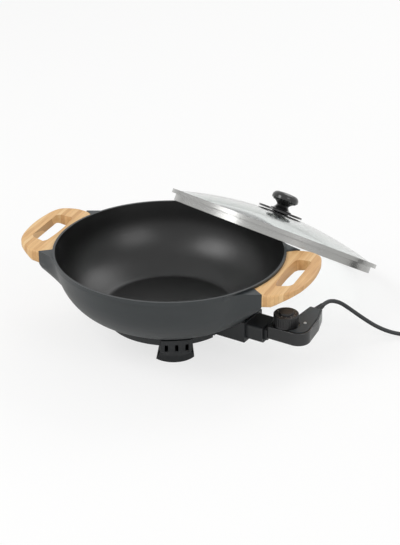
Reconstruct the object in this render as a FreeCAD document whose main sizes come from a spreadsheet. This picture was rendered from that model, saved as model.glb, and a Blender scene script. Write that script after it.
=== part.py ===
import FreeCAD, Part
import math
import os
import re
import Sketcher

# An electric wok of 36 cm with wooden D handles, a glass lid that leans on it, and a plug-in
# temperature control. Origin: the pan's axis at table level. +X points to the handle beside the
# control, +Z is up, and all sizes are in millimetres and degrees.

Vector = FreeCAD.Vector
doc = FreeCAD.newDocument("electric_wok")
sheet = doc.addObject("Spreadsheet::Sheet", "Sizes")

# Driving sizes
SIZES = (
    ("rim_radius", 180, "outside of the pan's lip"),
    ("rim_height", 150, "lip above the table"),
    ("wall", 3.6, "cast aluminium wall"),
    ("wall_draft", 10.2, "upper wall from the vertical"),
    ("cone_slope", 59.5, "lower wall from the vertical"),
    ("bowl_bend", 90, "outside radius where the wall turns in"),
    ("lip_height", 6.5, "thickened lip"),
    ("lip_step", 1.1, "how far the lip stands out"),
    ("base_radius", 100, "flat underside of the pan"),
    ("base_height", 44, "flat underside above the table"),
    ("base_thick", 6, "cooking floor"),
    ("floor_bend", 20, "inside radius at the cooking floor"),
    ("joint_azimuth", 22, "where the joint face leaves the rim"),
    ("joint_skew", 38.8, "joint face against the handle's axis"),
    ("joint_length", 22.8, "joint face from the rim to its outer corner"),
    ("lug_drop", 3.5, "top of the lug below the lip"),
    ("lug_depth", 24.5, "height of the joint face"),
    ("lug_root", 74, "where the lug's root meets the wall"),
    ("lug_span", 14, "degrees from the joint to the lug's thin end"),
    ("lug_hollow", 95, "radius of the lug's hollow underside"),
    ("tongue_long", 17, "cast tongue inside the wood"),
    ("tongue_wide", 10, "width of the tongue"),
    ("tongue_thick", 7, "thickness of the tongue"),
    ("tongue_lift", 9, "tongue above the handle's underside"),
    ("wood_thick", 24, "handle thickness at the joint"),
    ("wood_drop", 4, "top of the wood below the lip"),
    ("fit_gap", 0.3, "running gap round parts that are fitted"),
    ("handle_reach", 241, "tip of the handle from the pan's axis"),
    ("handle_shoulder", 60, "radius of the handle's shoulder"),
    ("handle_end", 190, "radius of the handle's end"),
    ("grip_width", 23.5, "bar of wood that the fingers close on"),
    ("slot_length", 96, "finger opening along the rim"),
    ("strip_width", 11.3, "wood between the rim and the finger opening"),
    ("wood_round_top", 4, "rounding of the upper edges"),
    ("wood_round_low", 8, "rounding of the lower edges"),
    ("ring_radius", "base_radius - 1.1", "outside of the base ring"),
    ("ring_low", 33.7, "lower edge of the base ring above the table"),
    ("ring_wall", 3, "moulded wall"),
    ("flange_inner", "base_radius - 38", "inner edge of the ring's flange"),
    ("flange_thick", 3.5, "flange under the pan"),
    ("foot_reach", "ring_radius - 7.6", "front of the foot on the table"),
    ("foot_top_reach", "ring_radius + 2.3", "front of the foot at its top"),
    ("foot_half", 29.5, "half width on the table"),
    ("foot_top_half", 24, "half width at the top"),
    ("foot_bow", 37, "radius of the foot's front on the table"),
    ("foot_top_bow", 33, "radius of the foot's front at its top"),
    ("foot_back", "ring_radius - 32.9", "back of the foot from the pan's axis"),
    ("foot_wall", 3, "moulded wall of the foot"),
    ("vent_width", 5, "vent slot in the foot"),
    ("vent_pitch", 15.8, "vent slots apart"),
    ("vent_low", 33, "lower end of the vent slots"),
    ("vent_high", 40.5, "upper end of the vent slots"),
    ("element_radius", "ring_radius - 48.9", "loop of the heating tube"),
    ("element_tube", 3.5, "radius of the heating tube"),
    ("element_leg", 13, "heating tube ends beside the socket's axis"),
    ("rib_height", 4, "cast ribs beside the heating tube"),
    ("rib_wide", 3, "width of those ribs"),
    ("shield_radius", "ring_radius - 33.9", "steel shield under the pan"),
    ("shield_thick", 1, "sheet of the shield"),
    ("shield_low", 35, "lowest face of the shield"),
    ("boss_radius", 8, "centre boss for the shield's screw"),
    ("screw_ring", "ring_radius - 18.9", "screws of feet and ring from the pan's axis"),
    ("screw_shank", 2, "radius of the screws"),
    ("screw_head", 3.8, "radius of their heads"),
    ("screw_cap", 2, "height of their heads"),
    ("screw_gap", 0.15, "clearance round a screw"),
    ("screw_bite", 4, "screw's hold in the pan's base"),
    ("head_sink", 3, "screw heads above the wood's underside"),
    ("socket_azimuth", -8.5, "socket's axis against the handle's axis"),
    ("socket_height", "base_height + 12", "probe and pins above the table"),
    ("socket_boss", 9, "radius of the cast boss round the probe's bore"),
    ("boss_end", "base_radius + 41", "outer end of that boss"),
    ("bore_end", "boss_end - 14", "blind end of the probe's bore"),
    ("shroud_half", 26.5, "half width of the socket shroud"),
    ("shroud_low", "base_height - 3.5", "underside of the shroud"),
    ("shroud_high", "socket_height + 18", "top of the shroud"),
    ("shroud_start", "ring_radius - 6.4", "inner end of the shroud"),
    ("shroud_end", "boss_end + 9.5", "where the collar starts"),
    ("shroud_wall", 3, "moulded wall of shroud and collar"),
    ("collar_half", 21.7, "half width of the collar"),
    ("collar_low", "socket_height - 10.7", "underside of the collar"),
    ("collar_high", "socket_height + 15.3", "top of the collar"),
    ("collar_end", "shroud_end + 28.5", "mouth of the socket"),
    ("ear_place", "ring_radius - 12.9", "shroud's screws from the pan's axis"),
    ("ear_side", 22, "shroud's screws beside the socket's axis"),
    ("plate_thick", 3, "insulating plate behind the pins"),
    ("plate_half", 20, "half width of that plate"),
    ("pin_radius", 2.3, "round pins"),
    ("pin_start", "boss_end - 2", "inner end of the pins"),
    ("pin_end", "boss_end + 30", "tip of the pins"),
    ("bead_radius", 4.4, "ceramic bead round each pin"),
    ("bead_end", "boss_end + 6", "outer end of the beads"),
    ("sleeve_radius", 3.5, "contact sleeves that take the pins"),
    ("sleeve_end", "collar_end + 4", "inner end of sleeves and probe"),
    ("probe_radius", 4, "temperature probe"),
    ("probe_tip", "bore_end + 0.5", "tip of the probe"),
    ("nose_start", "shroud_end + 2", "front of the plug-in block"),
    ("nose_half", 17.2, "half width of the plug-in block"),
    ("nose_low", "socket_height - 6.4", "underside of the plug-in block"),
    ("nose_high", "socket_height + 11.6", "top of the plug-in block"),
    ("tenon_half", 14, "half width of the block's tenon"),
    ("tenon_high", "socket_height + 8", "top of the tenon"),
    ("body_start", "collar_end + 5.5", "inner end of the control's housing"),
    ("body_low", "socket_height - 2", "underside of the housing"),
    ("body_split", "socket_height + 9", "joint between the two halves"),
    ("body_high", "socket_height + 19.5", "top of the housing"),
    ("body_half", 18.5, "half width beside the dial"),
    ("body_wall", 2.5, "moulded wall of the housing"),
    ("body_corner", 3, "upright corners of the housing"),
    ("body_edge_low", 2, "rounding under the housing"),
    ("body_edge_top", 1.2, "rounding on top of the housing"),
    ("small_shank", 1.3, "radius of the housing's screws"),
    ("small_head", 2.6, "radius of their heads"),
    ("small_cap", 1.2, "height of their heads"),
    ("small_bite", 10, "their hold in the posts"),
    ("frame_sheet", 1, "steel bracket of the thermostat"),
    ("tail_reach", 72, "end of the tail beside the socket's axis"),
    ("body_long", 62, "length of the housing"),
    ("nose_reach", "body_start + body_long", "outermost point of the housing"),
    ("tail_inner", "nose_reach - 39.5", "inner side of the tail"),
    ("tail_outer", "nose_reach - 15.5", "outer side of the tail at its end"),
    ("face_inset", 3.6, "grey top plate inside the housing's edge"),
    ("face_thick", 1.2, "grey top plate"),
    ("dial_place", "body_start + 22", "dial's axis from the pan's axis"),
    ("dial_side", 1, "dial's axis beside the socket's axis"),
    ("dial_radius", 19.1, "dial"),
    ("dial_grip", 11.5, "raised grip on the dial"),
    ("dial_gap", 0.5, "dial above the housing"),
    ("dial_height", 22, "dial"),
    ("dial_skirt", 3, "wall of the dial"),
    ("dial_ribs", 30, "grip grooves round the dial"),
    ("spindle_radius", 3, "dial's spindle"),
    ("lamp_radius", 2.5, "pilot lamp"),
    ("lamp_place", "nose_reach - 16.5", "pilot lamp from the pan's axis"),
    ("lamp_side", 17.7, "pilot lamp beside the socket's axis"),
    ("exit_place", "nose_reach - 27.5", "cord's exit from the pan's axis"),
    ("exit_height", 69, "cord's exit above the table"),
    ("relief_long", 22, "strain relief"),
    ("relief_radius", 6, "strain relief at the housing"),
    ("cord_radius", 3.25, "flexible lead"),
    ("coil_radius", 43, "widest turn of the coiled lead"),
    ("coil_gap", 0.7, "gap between its turns"),
    ("coil_x", 372, "middle of the coil"),
    ("coil_y", 235, "middle of the coil"),
    ("coil_lead", 22, "straight run into the coil"),
    ("coil_tail", 44, "straight end before the plug"),
    ("tie_thick", 0.8, "strap round the coil"),
    ("tie_wide", 8, "width of the strap"),
    ("plug_long", 36, "plug"),
    ("plug_half", 12.5, "half width of the plug"),
    ("blade_long", 17, "plug's blades"),
    ("blade_wide", 6.3, "width of a blade"),
    ("blade_thick", 1.5, "thickness of a blade"),
    ("blade_pitch", 12.7, "blades apart"),
    ("flange_radius", 178.9, "lid's band"),
    ("skirt_radius", 171.3, "lid's skirt that sits in the pan"),
    ("skirt_drop", 11.6, "depth of that skirt"),
    ("band", 0.8, "sheet of the lid's band"),
    ("band_cover", 5, "band over the glass edge"),
    ("seal", 0.5, "seal round the glass edge"),
    ("glass", 4, "toughened glass"),
    ("lid_rise", 30, "top of the glass above the band"),
    ("lid_tilt", 31.4, "lean of the lid"),
    ("lid_lean_azimuth", 70.6, "direction in which the lid slopes down"),
    ("table_gap", 0.3, "lid's lowest edge above the table"),
    ("lip_lift", 0.9, "lid's skirt above the lip on the free side"),
    ("lug_lift", 4, "lid's skirt above the lip on the lug's side"),
    ("guard_radius", 37.5, "heat guard under the knob"),
    ("guard_thick", 3, "heat guard"),
    ("guard_ring", 3.5, "outer ring of the heat guard"),
    ("guard_slots", 20, "openings in the heat guard"),
    ("guard_bar", 1.3, "half width of an opening at its inner end"),
    ("guard_slot_half", 3.9, "half width of an opening at its outer end"),
    ("gasket", 0.8, "gasket between guard and glass"),
    ("knob_radius", 22.5, "knob"),
    ("knob_crown", 13, "radius where the knob's top turns down"),
    ("knob_dome", 1, "rise of the knob's top"),
    ("knob_foot", 18, "knob's foot on the guard"),
    ("knob_neck", 10, "knob's neck"),
    ("stud_radius", 2, "knob's screw"),
    ("stud_hole", 2.5, "hole for that screw"),
    ("knob_high", 34.5, "knob above the glass"),
    ("washer_radius", 18, "washer under the glass"),
)

# The lid leans with its skirt on the pan's lip at two places and on the table at its lowest edge.
# reach: from the skirt's centre down the slope, and across it, to where the skirt is that high.
LEAN = (
    ("lean_low", "table_gap + skirt_radius * sin(lid_tilt)", "skirt's centre above the table"),
    ("left_along", "(lean_low - rim_height - lip_lift) / sin(lid_tilt)", "reach to the free side"),
    ("left_across", "sqrt(skirt_radius ^ 2 - left_along ^ 2)", "the same across"),
    ("right_along", "(lean_low - rim_height - lug_lift) / sin(lid_tilt)", "reach to the lug's side"),
    ("right_across", "sqrt(skirt_radius ^ 2 - right_along ^ 2)", "the same across"),
    ("rest_long", "(left_along - right_along) * cos(lid_tilt)", "rests apart down the slope"),
    ("rest_wide", "left_across + right_across", "rests apart across it"),
    ("rest_span", "sqrt(rest_long ^ 2 + rest_wide ^ 2)", "rests apart"),
    ("rest_rise", "sqrt(rim_radius ^ 2 - rest_span ^ 2 / 4)", "pan's axis to the line between them"),
    ("lean_out", "rest_rise * rest_wide / rest_span - (left_along + right_along) * cos(lid_tilt) / 2",
     "skirt's centre from the pan's axis down the slope"),
    ("lean_side", "(right_across - left_across) / 2 - rest_rise * rest_long / rest_span",
     "the same across"),
    ("flange_out", "lean_out + skirt_drop * sin(lid_tilt)", "the band's centre down the slope"),
    ("lid_x", "flange_out * cos(lid_lean_azimuth) - lean_side * sin(lid_lean_azimuth)",
     "the band's centre"),
    ("lid_y", "flange_out * sin(lid_lean_azimuth) + lean_side * cos(lid_lean_azimuth)",
     "the band's centre"),
    ("lid_z", "lean_low + skirt_drop * cos(lid_tilt)", "the band's centre"),
)
for row, (alias, value, meaning) in enumerate(SIZES + LEAN, 1):
    sheet.set("A%d" % row, alias)
    sheet.set("B%d" % row, "=" + value if isinstance(value, str) else str(value))
    sheet.set("C%d" % row, meaning)
    sheet.setAlias("B%d" % row, alias)
    doc.recompute()
ALIASES = {alias for alias, value, meaning in SIZES + LEAN}

# Places worked out from the sizes, as expressions
FLOOR = "(base_height + base_thick)"
WALL_TAN = "tan(wall_draft)"
CONE_TAN = "tan(cone_slope)"
WALL_TOP = "(rim_height - lip_height - lip_step)"
WALL_R = "(rim_radius - lip_step - %s * lip_height)" % WALL_TAN
CORNER_Z = "((%s - base_radius - %s * %s + %s * base_height) / (%s - %s))" % (
    WALL_R, WALL_TAN, WALL_TOP, CONE_TAN, CONE_TAN, WALL_TAN)
CORNER_R = "(base_radius + %s * (%s - base_height))" % (CONE_TAN, CORNER_Z)
INNER_RIM = "(rim_radius - wall)"
INNER_BASE = "(base_radius - wall / cos(cone_slope))"
INNER_Z = "((%s - %s - %s * rim_height + %s * base_height) / (%s - %s))" % (
    INNER_RIM, INNER_BASE, WALL_TAN, CONE_TAN, CONE_TAN, WALL_TAN)
INNER_R = "(%s + %s * (%s - base_height))" % (INNER_BASE, CONE_TAN, INNER_Z)
FLOOR_R = "(%s + %s * base_thick)" % (INNER_BASE, CONE_TAN)
LUG_TOP = "(rim_height - lug_drop)"
LUG_LOW = "(rim_height - lug_drop - lug_depth)"
JOINT_IN = ("rim_radius * cos(joint_azimuth)", "rim_radius * sin(joint_azimuth)")
JOINT_OUT = ("(%s + joint_length * cos(joint_skew))" % JOINT_IN[0],
             "(%s + joint_length * sin(joint_skew))" % JOINT_IN[1])
WOOD_TOP = "(rim_height - wood_drop)"
WOOD_LOW = "(rim_height - wood_drop - wood_thick)"
TONGUE_LOW = "(%s + tongue_lift)" % WOOD_LOW
DIAL_LOW = "(body_high + dial_gap)"
LEG_GATE = "(element_leg + element_tube + 1)"
BASE_TURNS = (20, 140, 260)


# Helpers

def number(text):
    """Value of an expression in the sheet's names."""
    return float(sheet.evalExpression(str(text)))


def bound(text):
    """The same expression as other objects write it."""
    def full(found):
        word = found.group()
        return "Sizes." + word if word in ALIASES else word
    return re.sub(r"[a-z_][a-z_0-9]*", full, str(text))


def bind(thing, **expressions):
    """Ties properties of an object to the sheet."""
    for name, text in expressions.items():
        thing.setExpression(name, bound(text))


def new_body(label, turn=None):
    """A body, turned about the pan's axis by an expression in degrees."""
    body = doc.addObject("PartDesign::Body", label)
    body.Label = label
    body.AllowCompound = True
    if turn is not None:
        body.Placement = FreeCAD.Placement(Vector(), FreeCAD.Rotation(Vector(0, 0, 1), number(turn)))
        body.setExpression("Placement.Rotation.Angle", bound(turn))
    return body


def new_sketch(body, role="XY_Plane", lift="0"):
    """A sketch on one of the body's own planes, lifted along that plane's normal."""
    sketch = body.newObject("Sketcher::SketchObject", body.Label + "_sketch")
    plane = [part for part in body.Origin.OriginFeatures if part.Role == role][0]
    sketch.AttachmentSupport = [(plane, "")]
    sketch.MapMode = "FlatFace"
    sketch.setExpression("AttachmentOffset.Base.z", bound(lift))
    return sketch


def draw(sketch, points):
    """A closed outline. A point's third entry is the radius of the arc that leads on from it:
    a positive one bulges to the right of the way round."""
    spots = [Vector(number(point[0]), number(point[1])) for point in points]
    ends = []
    limits = []
    for index, point in enumerate(points):
        here = spots[index]
        there = spots[(index + 1) % len(spots)]
        if len(point) == 2:
            edge = sketch.addGeometry(Part.LineSegment(here, there), False)
        else:
            radius = number(point[2])
            half = (there - here) * 0.5
            rise = abs(radius) - math.sqrt(radius ** 2 - half.Length ** 2)
            side = Vector(half.y, -half.x) * (math.copysign(rise, radius) / half.Length)
            edge = sketch.addGeometry(Part.Arc(here, here + half + side, there), False)
            size = Sketcher.Constraint("Radius", edge, abs(radius))
            limits.append((size, "abs(%s)" % point[2]))
        start = 1 if sketch.getPoint(edge, 1).distanceToPoint(here) < 1e-6 else 2
        ends.append((edge, start))
    for index, point in enumerate(points):
        edge, start = ends[index]
        before, opened = ends[index - 1]
        sketch.addConstraint(Sketcher.Constraint("Coincident", before, 3 - opened, edge, start))
        for axis, kind in enumerate(("DistanceX", "DistanceY")):
            value = spots[index][axis]
            place = Sketcher.Constraint(kind, -1, 1, edge, start, value)
            limits.append((place, point[axis]))
    for limit, text in limits:
        sketch.setExpression("Constraints[%d]" % sketch.addConstraint(limit), bound(text))


def draw_circle(sketch, across, up, radius):
    """A circle whose centre and radius are tied to the sheet."""
    centre = Vector(number(across), number(up))
    edge = sketch.addGeometry(Part.Circle(centre, Vector(0, 0, 1), number(radius)), False)
    for kind, value, text in (("DistanceX", centre.x, across), ("DistanceY", centre.y, up)):
        place = sketch.addConstraint(Sketcher.Constraint(kind, -1, 1, edge, 3, value))
        sketch.setExpression("Constraints[%d]" % place, bound(text))
    size = sketch.addConstraint(Sketcher.Constraint("Radius", edge, number(radius)))
    sketch.setExpression("Constraints[%d]" % size, bound(radius))


def draw_box(sketch, left, right, low, high):
    """A rectangle between four expressions."""
    draw(sketch, [(left, low), (right, low), (right, high), (left, high)])


def pad(sketch, length):
    """Material along the sketch's normal."""
    body = sketch.getParentGeoFeatureGroup()
    feature = body.newObject("PartDesign::Pad", body.Label + "_pad")
    feature.Profile = sketch
    bind(feature, Length=length)
    return feature


def pocket(sketch, length, onward=False):
    """A cut against the sketch's normal, or along it."""
    body = sketch.getParentGeoFeatureGroup()
    feature = body.newObject("PartDesign::Pocket", body.Label + "_pocket")
    feature.Profile = sketch
    feature.Reversed = onward
    bind(feature, Length=length)
    return feature


def turn_round(sketch, cut=False):
    """A full turn of the sketch about its own vertical axis."""
    body = sketch.getParentGeoFeatureGroup()
    kind = "Groove" if cut else "Revolution"
    feature = body.newObject("PartDesign::" + kind, body.Label + "_" + kind.lower())
    feature.Profile = sketch
    feature.ReferenceAxis = (sketch, ["V_Axis"])
    feature.Angle = 360
    return feature


def polar(body, feature, count):
    """Copies of a feature evenly round the body's Z axis."""
    pattern = body.newObject("PartDesign::PolarPattern", body.Label + "_pattern")
    pattern.Originals = [feature]
    axis = [part for part in body.Origin.OriginFeatures if part.Role == "Z_Axis"][0]
    pattern.Axis = (axis, [""])
    pattern.Angle = 360
    bind(pattern, Occurrences=count)
    body.Tip = pattern
    return pattern


def round_edges(body, radius, wanted, flat=False):
    """A fillet, or a chamfer where flat, on the edges of the body's tip that pass a test."""
    doc.recompute()
    base = body.Tip
    names = ["Edge%d" % (index + 1) for index, edge in enumerate(base.Shape.Edges) if wanted(edge)]
    kind = "Chamfer" if flat else "Fillet"
    feature = body.newObject("PartDesign::" + kind, body.Label + "_" + kind.lower())
    feature.Base = (base, names)
    if flat:
        bind(feature, Size=radius)
    else:
        bind(feature, Radius=radius)
    doc.recompute()
    return feature


def middle(edge):
    """The point halfway along an edge."""
    return edge.valueAt((edge.FirstParameter + edge.LastParameter) / 2)


def is_circle(edge, radius, height):
    """Whether an edge lies on a level circle of that radius about the Z axis."""
    spot = middle(edge)
    far = math.hypot(spot.x, spot.y)
    return abs(far - number(radius)) < 0.02 and abs(spot.z - number(height)) < 0.02


def draw_rounded(sketch, left, right, low, high, corner):
    """A rectangle with rounded corners."""
    left, right, low, high = ["(%s)" % side for side in (left, right, low, high)]
    draw(sketch, [
        (left + " + " + corner, low), (right + " - " + corner, low, corner),
        (right, low + " + " + corner), (right, high + " - " + corner, corner),
        (right + " - " + corner, high), (left + " + " + corner, high, corner),
        (left, high + " - " + corner), (left, low + " + " + corner, corner)])


def holes(body, lift, places, radius, depth, upward):
    """Round holes from a level of the body, up or down."""
    sketch = new_sketch(body, "XY_Plane", lift)
    for across, along in places:
        draw_circle(sketch, across, along, radius)
    return pocket(sketch, depth, onward=upward)


def polar_place(radius, azimuth):
    """A place in plan from its radius and azimuth."""
    return ("%s * cos(%s)" % (radius, azimuth), "%s * sin(%s)" % (radius, azimuth))


def socket_place(along, across):
    """A place in plan from its distances along the socket's axis and beside it."""
    return ("(%s) * cos(socket_azimuth) - (%s) * sin(socket_azimuth)" % (along, across),
            "(%s) * sin(socket_azimuth) + (%s) * cos(socket_azimuth)" % (along, across))


def socket_box(start, end, half):
    """A rectangle in plan along the socket's axis; a turned body draws it in its own frame."""
    corners = ((start, "0 - " + half), (end, "0 - " + half), (end, half), (start, half))
    return [socket_place(along, across) for along, across in corners]


EAR_PLACES = [socket_place("ear_place", side) for side in ("ear_side", "0 - ear_side")]
PARTS = {}


def add_solids(label, solids):
    """A piece of one solid, or of several equal ones."""
    part = doc.addObject("Part::Feature", label)
    part.Shape = solids[0] if len(solids) == 1 else Part.makeCompound(solids)
    PARTS[label] = part


def put(part, place, height, turn=None):
    """Places an object on the sheet's values."""
    if turn is not None:
        part.Placement.Rotation = FreeCAD.Rotation(Vector(0, 0, 1), number(turn))
        part.setExpression("Placement.Rotation.Angle", bound(turn))
    bind(part, **{"Placement.Base.x": place[0], "Placement.Base.y": place[1],
                  "Placement.Base.z": height})


def lathe(label, points, turn=None):
    """A body turned from one section of radius and height."""
    body = new_body(label, turn)
    sketch = new_sketch(body, "XZ_Plane")
    draw(sketch, points)
    turn_round(sketch)
    return body


def bowl_bend(corner_r, corner_z, bend):
    """The two ends of the arc where the bowl's wall turns from the cone to its upper part."""
    reach = "(%s * tan((cone_slope - wall_draft) / 2))" % bend
    return [("%s - %s * sin(cone_slope)" % (corner_r, reach),
             "%s - %s * cos(cone_slope)" % (corner_z, reach), bend),
            ("%s + %s * sin(wall_draft)" % (corner_r, reach),
             "%s + %s * cos(wall_draft)" % (corner_z, reach))]


# Pan: cast aluminium bowl with four lugs, ribs for the heating tube and the probe's boss

def lug_points(side, end):
    """Plan of one lug: side is +1 or -1 across the handle's axis, end is +1 or -1 along it."""
    inside = "(rim_radius - 30)"
    thin = "(joint_azimuth + lug_span)"
    points = [
        ("%s * cos(joint_azimuth)" % inside, "%s * sin(joint_azimuth) - 14" % inside),
        JOINT_IN,
        JOINT_OUT,
        ("(rim_radius + 1) * cos(%s)" % thin, "(rim_radius + 1) * sin(%s)" % thin),
        ("%s * cos(%s)" % (inside, thin), "%s * sin(%s)" % (inside, thin)),
    ]
    return [("%d * (%s)" % (end, x), "%d * (%s)" % (side, y)) for x, y in points]


TONGUE_ROOT = ["(%s + joint_length * 0.55 * %s)" % (JOINT_IN[axis], way)
               for axis, way in enumerate(("cos(joint_skew)", "sin(joint_skew)"))]


def tongue_centre(side, end):
    """Where the screw goes through the tongue."""
    return ("%d * (%s + tongue_long * 0.55 * sin(joint_skew))" % (end, TONGUE_ROOT[0]),
            "%d * (%s - tongue_long * 0.55 * cos(joint_skew))" % (side, TONGUE_ROOT[1]))


def tongue_points(side, end, gap="0", back="6"):
    """Plan of the cast tongue that runs into the wood, square to the joint face."""
    half = "(tongue_wide / 2 + %s)" % gap
    centre = TONGUE_ROOT
    points = []
    for along, across in (("-%s" % back, "-%s" % half), ("(tongue_long + %s)" % gap, "-%s" % half),
                          ("(tongue_long + %s)" % gap, half), ("-%s" % back, half)):
        x = "%s + %s * sin(joint_skew) + %s * cos(joint_skew)" % (centre[0], along, across)
        y = "%s - %s * cos(joint_skew) + %s * sin(joint_skew)" % (centre[1], along, across)
        points.append(("%d * (%s)" % (end, x), "%d * (%s)" % (side, y)))
    return points


def inner_points():
    """The bowl's inside from the middle of the floor to the rim."""
    return [("0", FLOOR), (FLOOR_R, FLOOR)] + bowl_bend(INNER_R, INNER_Z, "(bowl_bend - wall)") \
        + [(INNER_RIM, "rim_height")]


def make_pan():
    body = new_body("pan")
    outside = new_sketch(body, "XZ_Plane")
    draw(outside, [("0", "base_height"), ("base_radius", "base_height")]
         + bowl_bend(CORNER_R, CORNER_Z, "bowl_bend")
         + [(WALL_R, WALL_TOP), ("rim_radius", "rim_height - lip_height"),
            ("rim_radius", "rim_height"), ("0", "rim_height")])
    turn_round(outside)
    lugs = new_sketch(body, "XY_Plane", "lug_root")
    tongues = new_sketch(body, "XY_Plane", TONGUE_LOW)
    for end in (1, -1):
        for side in (1, -1):
            draw(lugs, lug_points(side, end))
            draw(tongues, tongue_points(side, end))
    pad(lugs, "%s - lug_root" % LUG_TOP)
    under = new_sketch(body, "XZ_Plane")
    root = "(rim_radius - 29)"
    tip = "(rim_radius + 24)"
    draw(under, [(root, "lug_root - 1"), ("rim_radius + 60", "lug_root - 1"),
                 ("rim_radius + 60", LUG_LOW), (tip, LUG_LOW, "0 - lug_hollow")])
    turn_round(under, cut=True)
    pad(tongues, "tongue_thick")
    holes(body, TONGUE_LOW, [tongue_centre(side, end) for end in (1, -1) for side in (1, -1)],
          "screw_shank + screw_gap", "tongue_thick", True)
    inside = new_sketch(body, "XZ_Plane")
    draw(inside, inner_points() + [(INNER_RIM, "rim_height + 1"), ("0", "rim_height + 1")])
    turn_round(inside, cut=True)
    round_edges(body, "floor_bend", lambda edge: is_circle(edge, FLOOR_R, FLOOR))
    low = new_sketch(body, "XZ_Plane")
    for radius in ("element_radius - element_tube - fit_gap - rib_wide",
                   "element_radius + element_tube + fit_gap"):
        draw_box(low, radius, "%s + rib_wide" % radius, "base_height - rib_height", "base_height + 1")
    draw_box(low, "0", "boss_radius", "shield_low + shield_thick", "base_height + 1")
    turn_round(low)
    gate = new_sketch(body, "XY_Plane", "base_height")
    draw(gate, socket_box("(boss_radius + 4)", "(element_radius + element_tube + rib_wide + 2)",
                          "(element_leg + element_tube + 8)"))
    pocket(gate, "rib_height + 1")
    feet = [polar_place("screw_ring", azimuth) for azimuth in (-60, 60, 180) + BASE_TURNS]
    holes(body, "base_height", feet + EAR_PLACES, "screw_shank + screw_gap", "screw_bite", True)
    holes(body, "shield_low + shield_thick", [("0", "0")], "screw_shank + screw_gap",
          "screw_bite + 3", True)
    return body


def add_probe_boss(pan):
    """The boss stands out of the bowl's wall along the socket's axis and holds the blind bore."""
    boss = doc.addObject("Part::Cylinder", "probe_boss")
    bind(boss, Radius="socket_boss", Height="boss_end - rim_radius + 70")
    bore = doc.addObject("Part::Cylinder", "probe_bore")
    bind(bore, Radius="probe_radius + fit_gap + 0.1", Height="60")
    for part, start in ((boss, "(rim_radius - 70)"), (bore, "bore_end")):
        part.Placement.Rotation = FreeCAD.Rotation(Vector(0, 0, 1), number("socket_azimuth")) \
            * FreeCAD.Rotation(Vector(0, 1, 0), 90)
        part.setExpression("Placement.Base.x", bound("%s * cos(socket_azimuth)" % start))
        part.setExpression("Placement.Base.y", bound("%s * sin(socket_azimuth)" % start))
        part.setExpression("Placement.Base.z", bound("socket_height"))
    inner = doc.addObject("PartDesign::Body", "pan_inside")
    sketch = new_sketch(inner, "XZ_Plane")
    draw(sketch, inner_points() + [("0", "rim_height")])
    turn_round(sketch)
    trimmed = doc.addObject("Part::Cut", "boss_trimmed")
    trimmed.Base = boss
    trimmed.Tool = inner
    joined = doc.addObject("Part::MultiFuse", "pan_with_boss")
    joined.Shapes = [pan, trimmed]
    bored = doc.addObject("Part::Cut", "pan_bored")
    bored.Base = joined
    bored.Tool = bore
    return bored


pan_casting = make_pan()
pan_casting.Label = "pan_casting"
PARTS["pan"] = add_probe_boss(pan_casting)


# Handles: D-shaped wood between the lugs, with a finger opening

def make_handle(label, turn):
    body = new_body(label, turn)
    plan = new_sketch(body, "XY_Plane", WOOD_LOW)
    near = "(rim_radius + fit_gap)"
    inner = ("%s * cos(joint_azimuth)" % near, "%s * sin(joint_azimuth)" % near)
    shoulder = ("(handle_reach - 43)", "(%s + 0.9)" % JOINT_OUT[1])
    tip = ("(handle_reach - 2.6)", "35")
    draw(plan, [
        (inner[0], "0 - " + inner[1]),
        (JOINT_OUT[0], "0 - " + JOINT_OUT[1]),
        (shoulder[0], "0 - " + shoulder[1], "handle_shoulder"),
        (tip[0], "0 - " + tip[1], "handle_end"),
        tip + ("handle_shoulder",),
        shoulder,
        JOINT_OUT,
        inner + ("0 - " + near,),
    ])
    strip = "(rim_radius + strip_width)"
    bar = "(handle_reach - grip_width)"
    half = "(slot_length / 2)"
    draw(plan, [
        (strip + " + 3.5", "0 - " + half),
        (bar + " - 6", "0 - %s + 3" % half, "10"),
        (bar, "0 - %s + 11" % half),
        (bar, half + " - 11", "10"),
        (bar + " - 6", half + " - 3"),
        (strip + " + 3.5", half, "350"),
    ])
    pad(plan, "wood_thick")
    for side in (1, -1):
        slot = new_sketch(body, "XY_Plane", "%s + tongue_thick + fit_gap" % TONGUE_LOW)
        draw(slot, tongue_points(side, 1, "fit_gap"))
        pocket(slot, "tongue_thick + 2 * fit_gap")
    places = [tongue_centre(side, 1) for side in (1, -1)]
    holes(body, WOOD_LOW, places, "screw_head + fit_gap", "head_sink", True)
    holes(body, WOOD_LOW, places, "screw_shank + screw_gap", "tongue_lift + 1", True)
    outer = number(JOINT_OUT[0]) + 0.5

    def is_outline(edge, height):
        level = all(abs(vertex.Point.z - height) < 0.01 for vertex in edge.Vertexes)
        spot = middle(edge)
        wide = abs(spot.y) > number(half) + 6 or spot.x > number(bar) + 6
        return level and wide and spot.x > outer and len(edge.Vertexes) == 2

    for radius, height in (("wood_round_top", number(WOOD_TOP)), ("wood_round_low", number(WOOD_LOW))):
        round_edges(body, radius, lambda edge: is_outline(edge, height))
    return body


for label, turn in (("handle_right", "0"), ("handle_left", "180")):
    PARTS[label] = make_handle(label, turn)


# Base ring: moulded ring and flange under the pan, open for the feet, the socket and the heating tube

FEET = (("foot_front", -60), ("foot_rear", 60), ("foot_left", 180))


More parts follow.
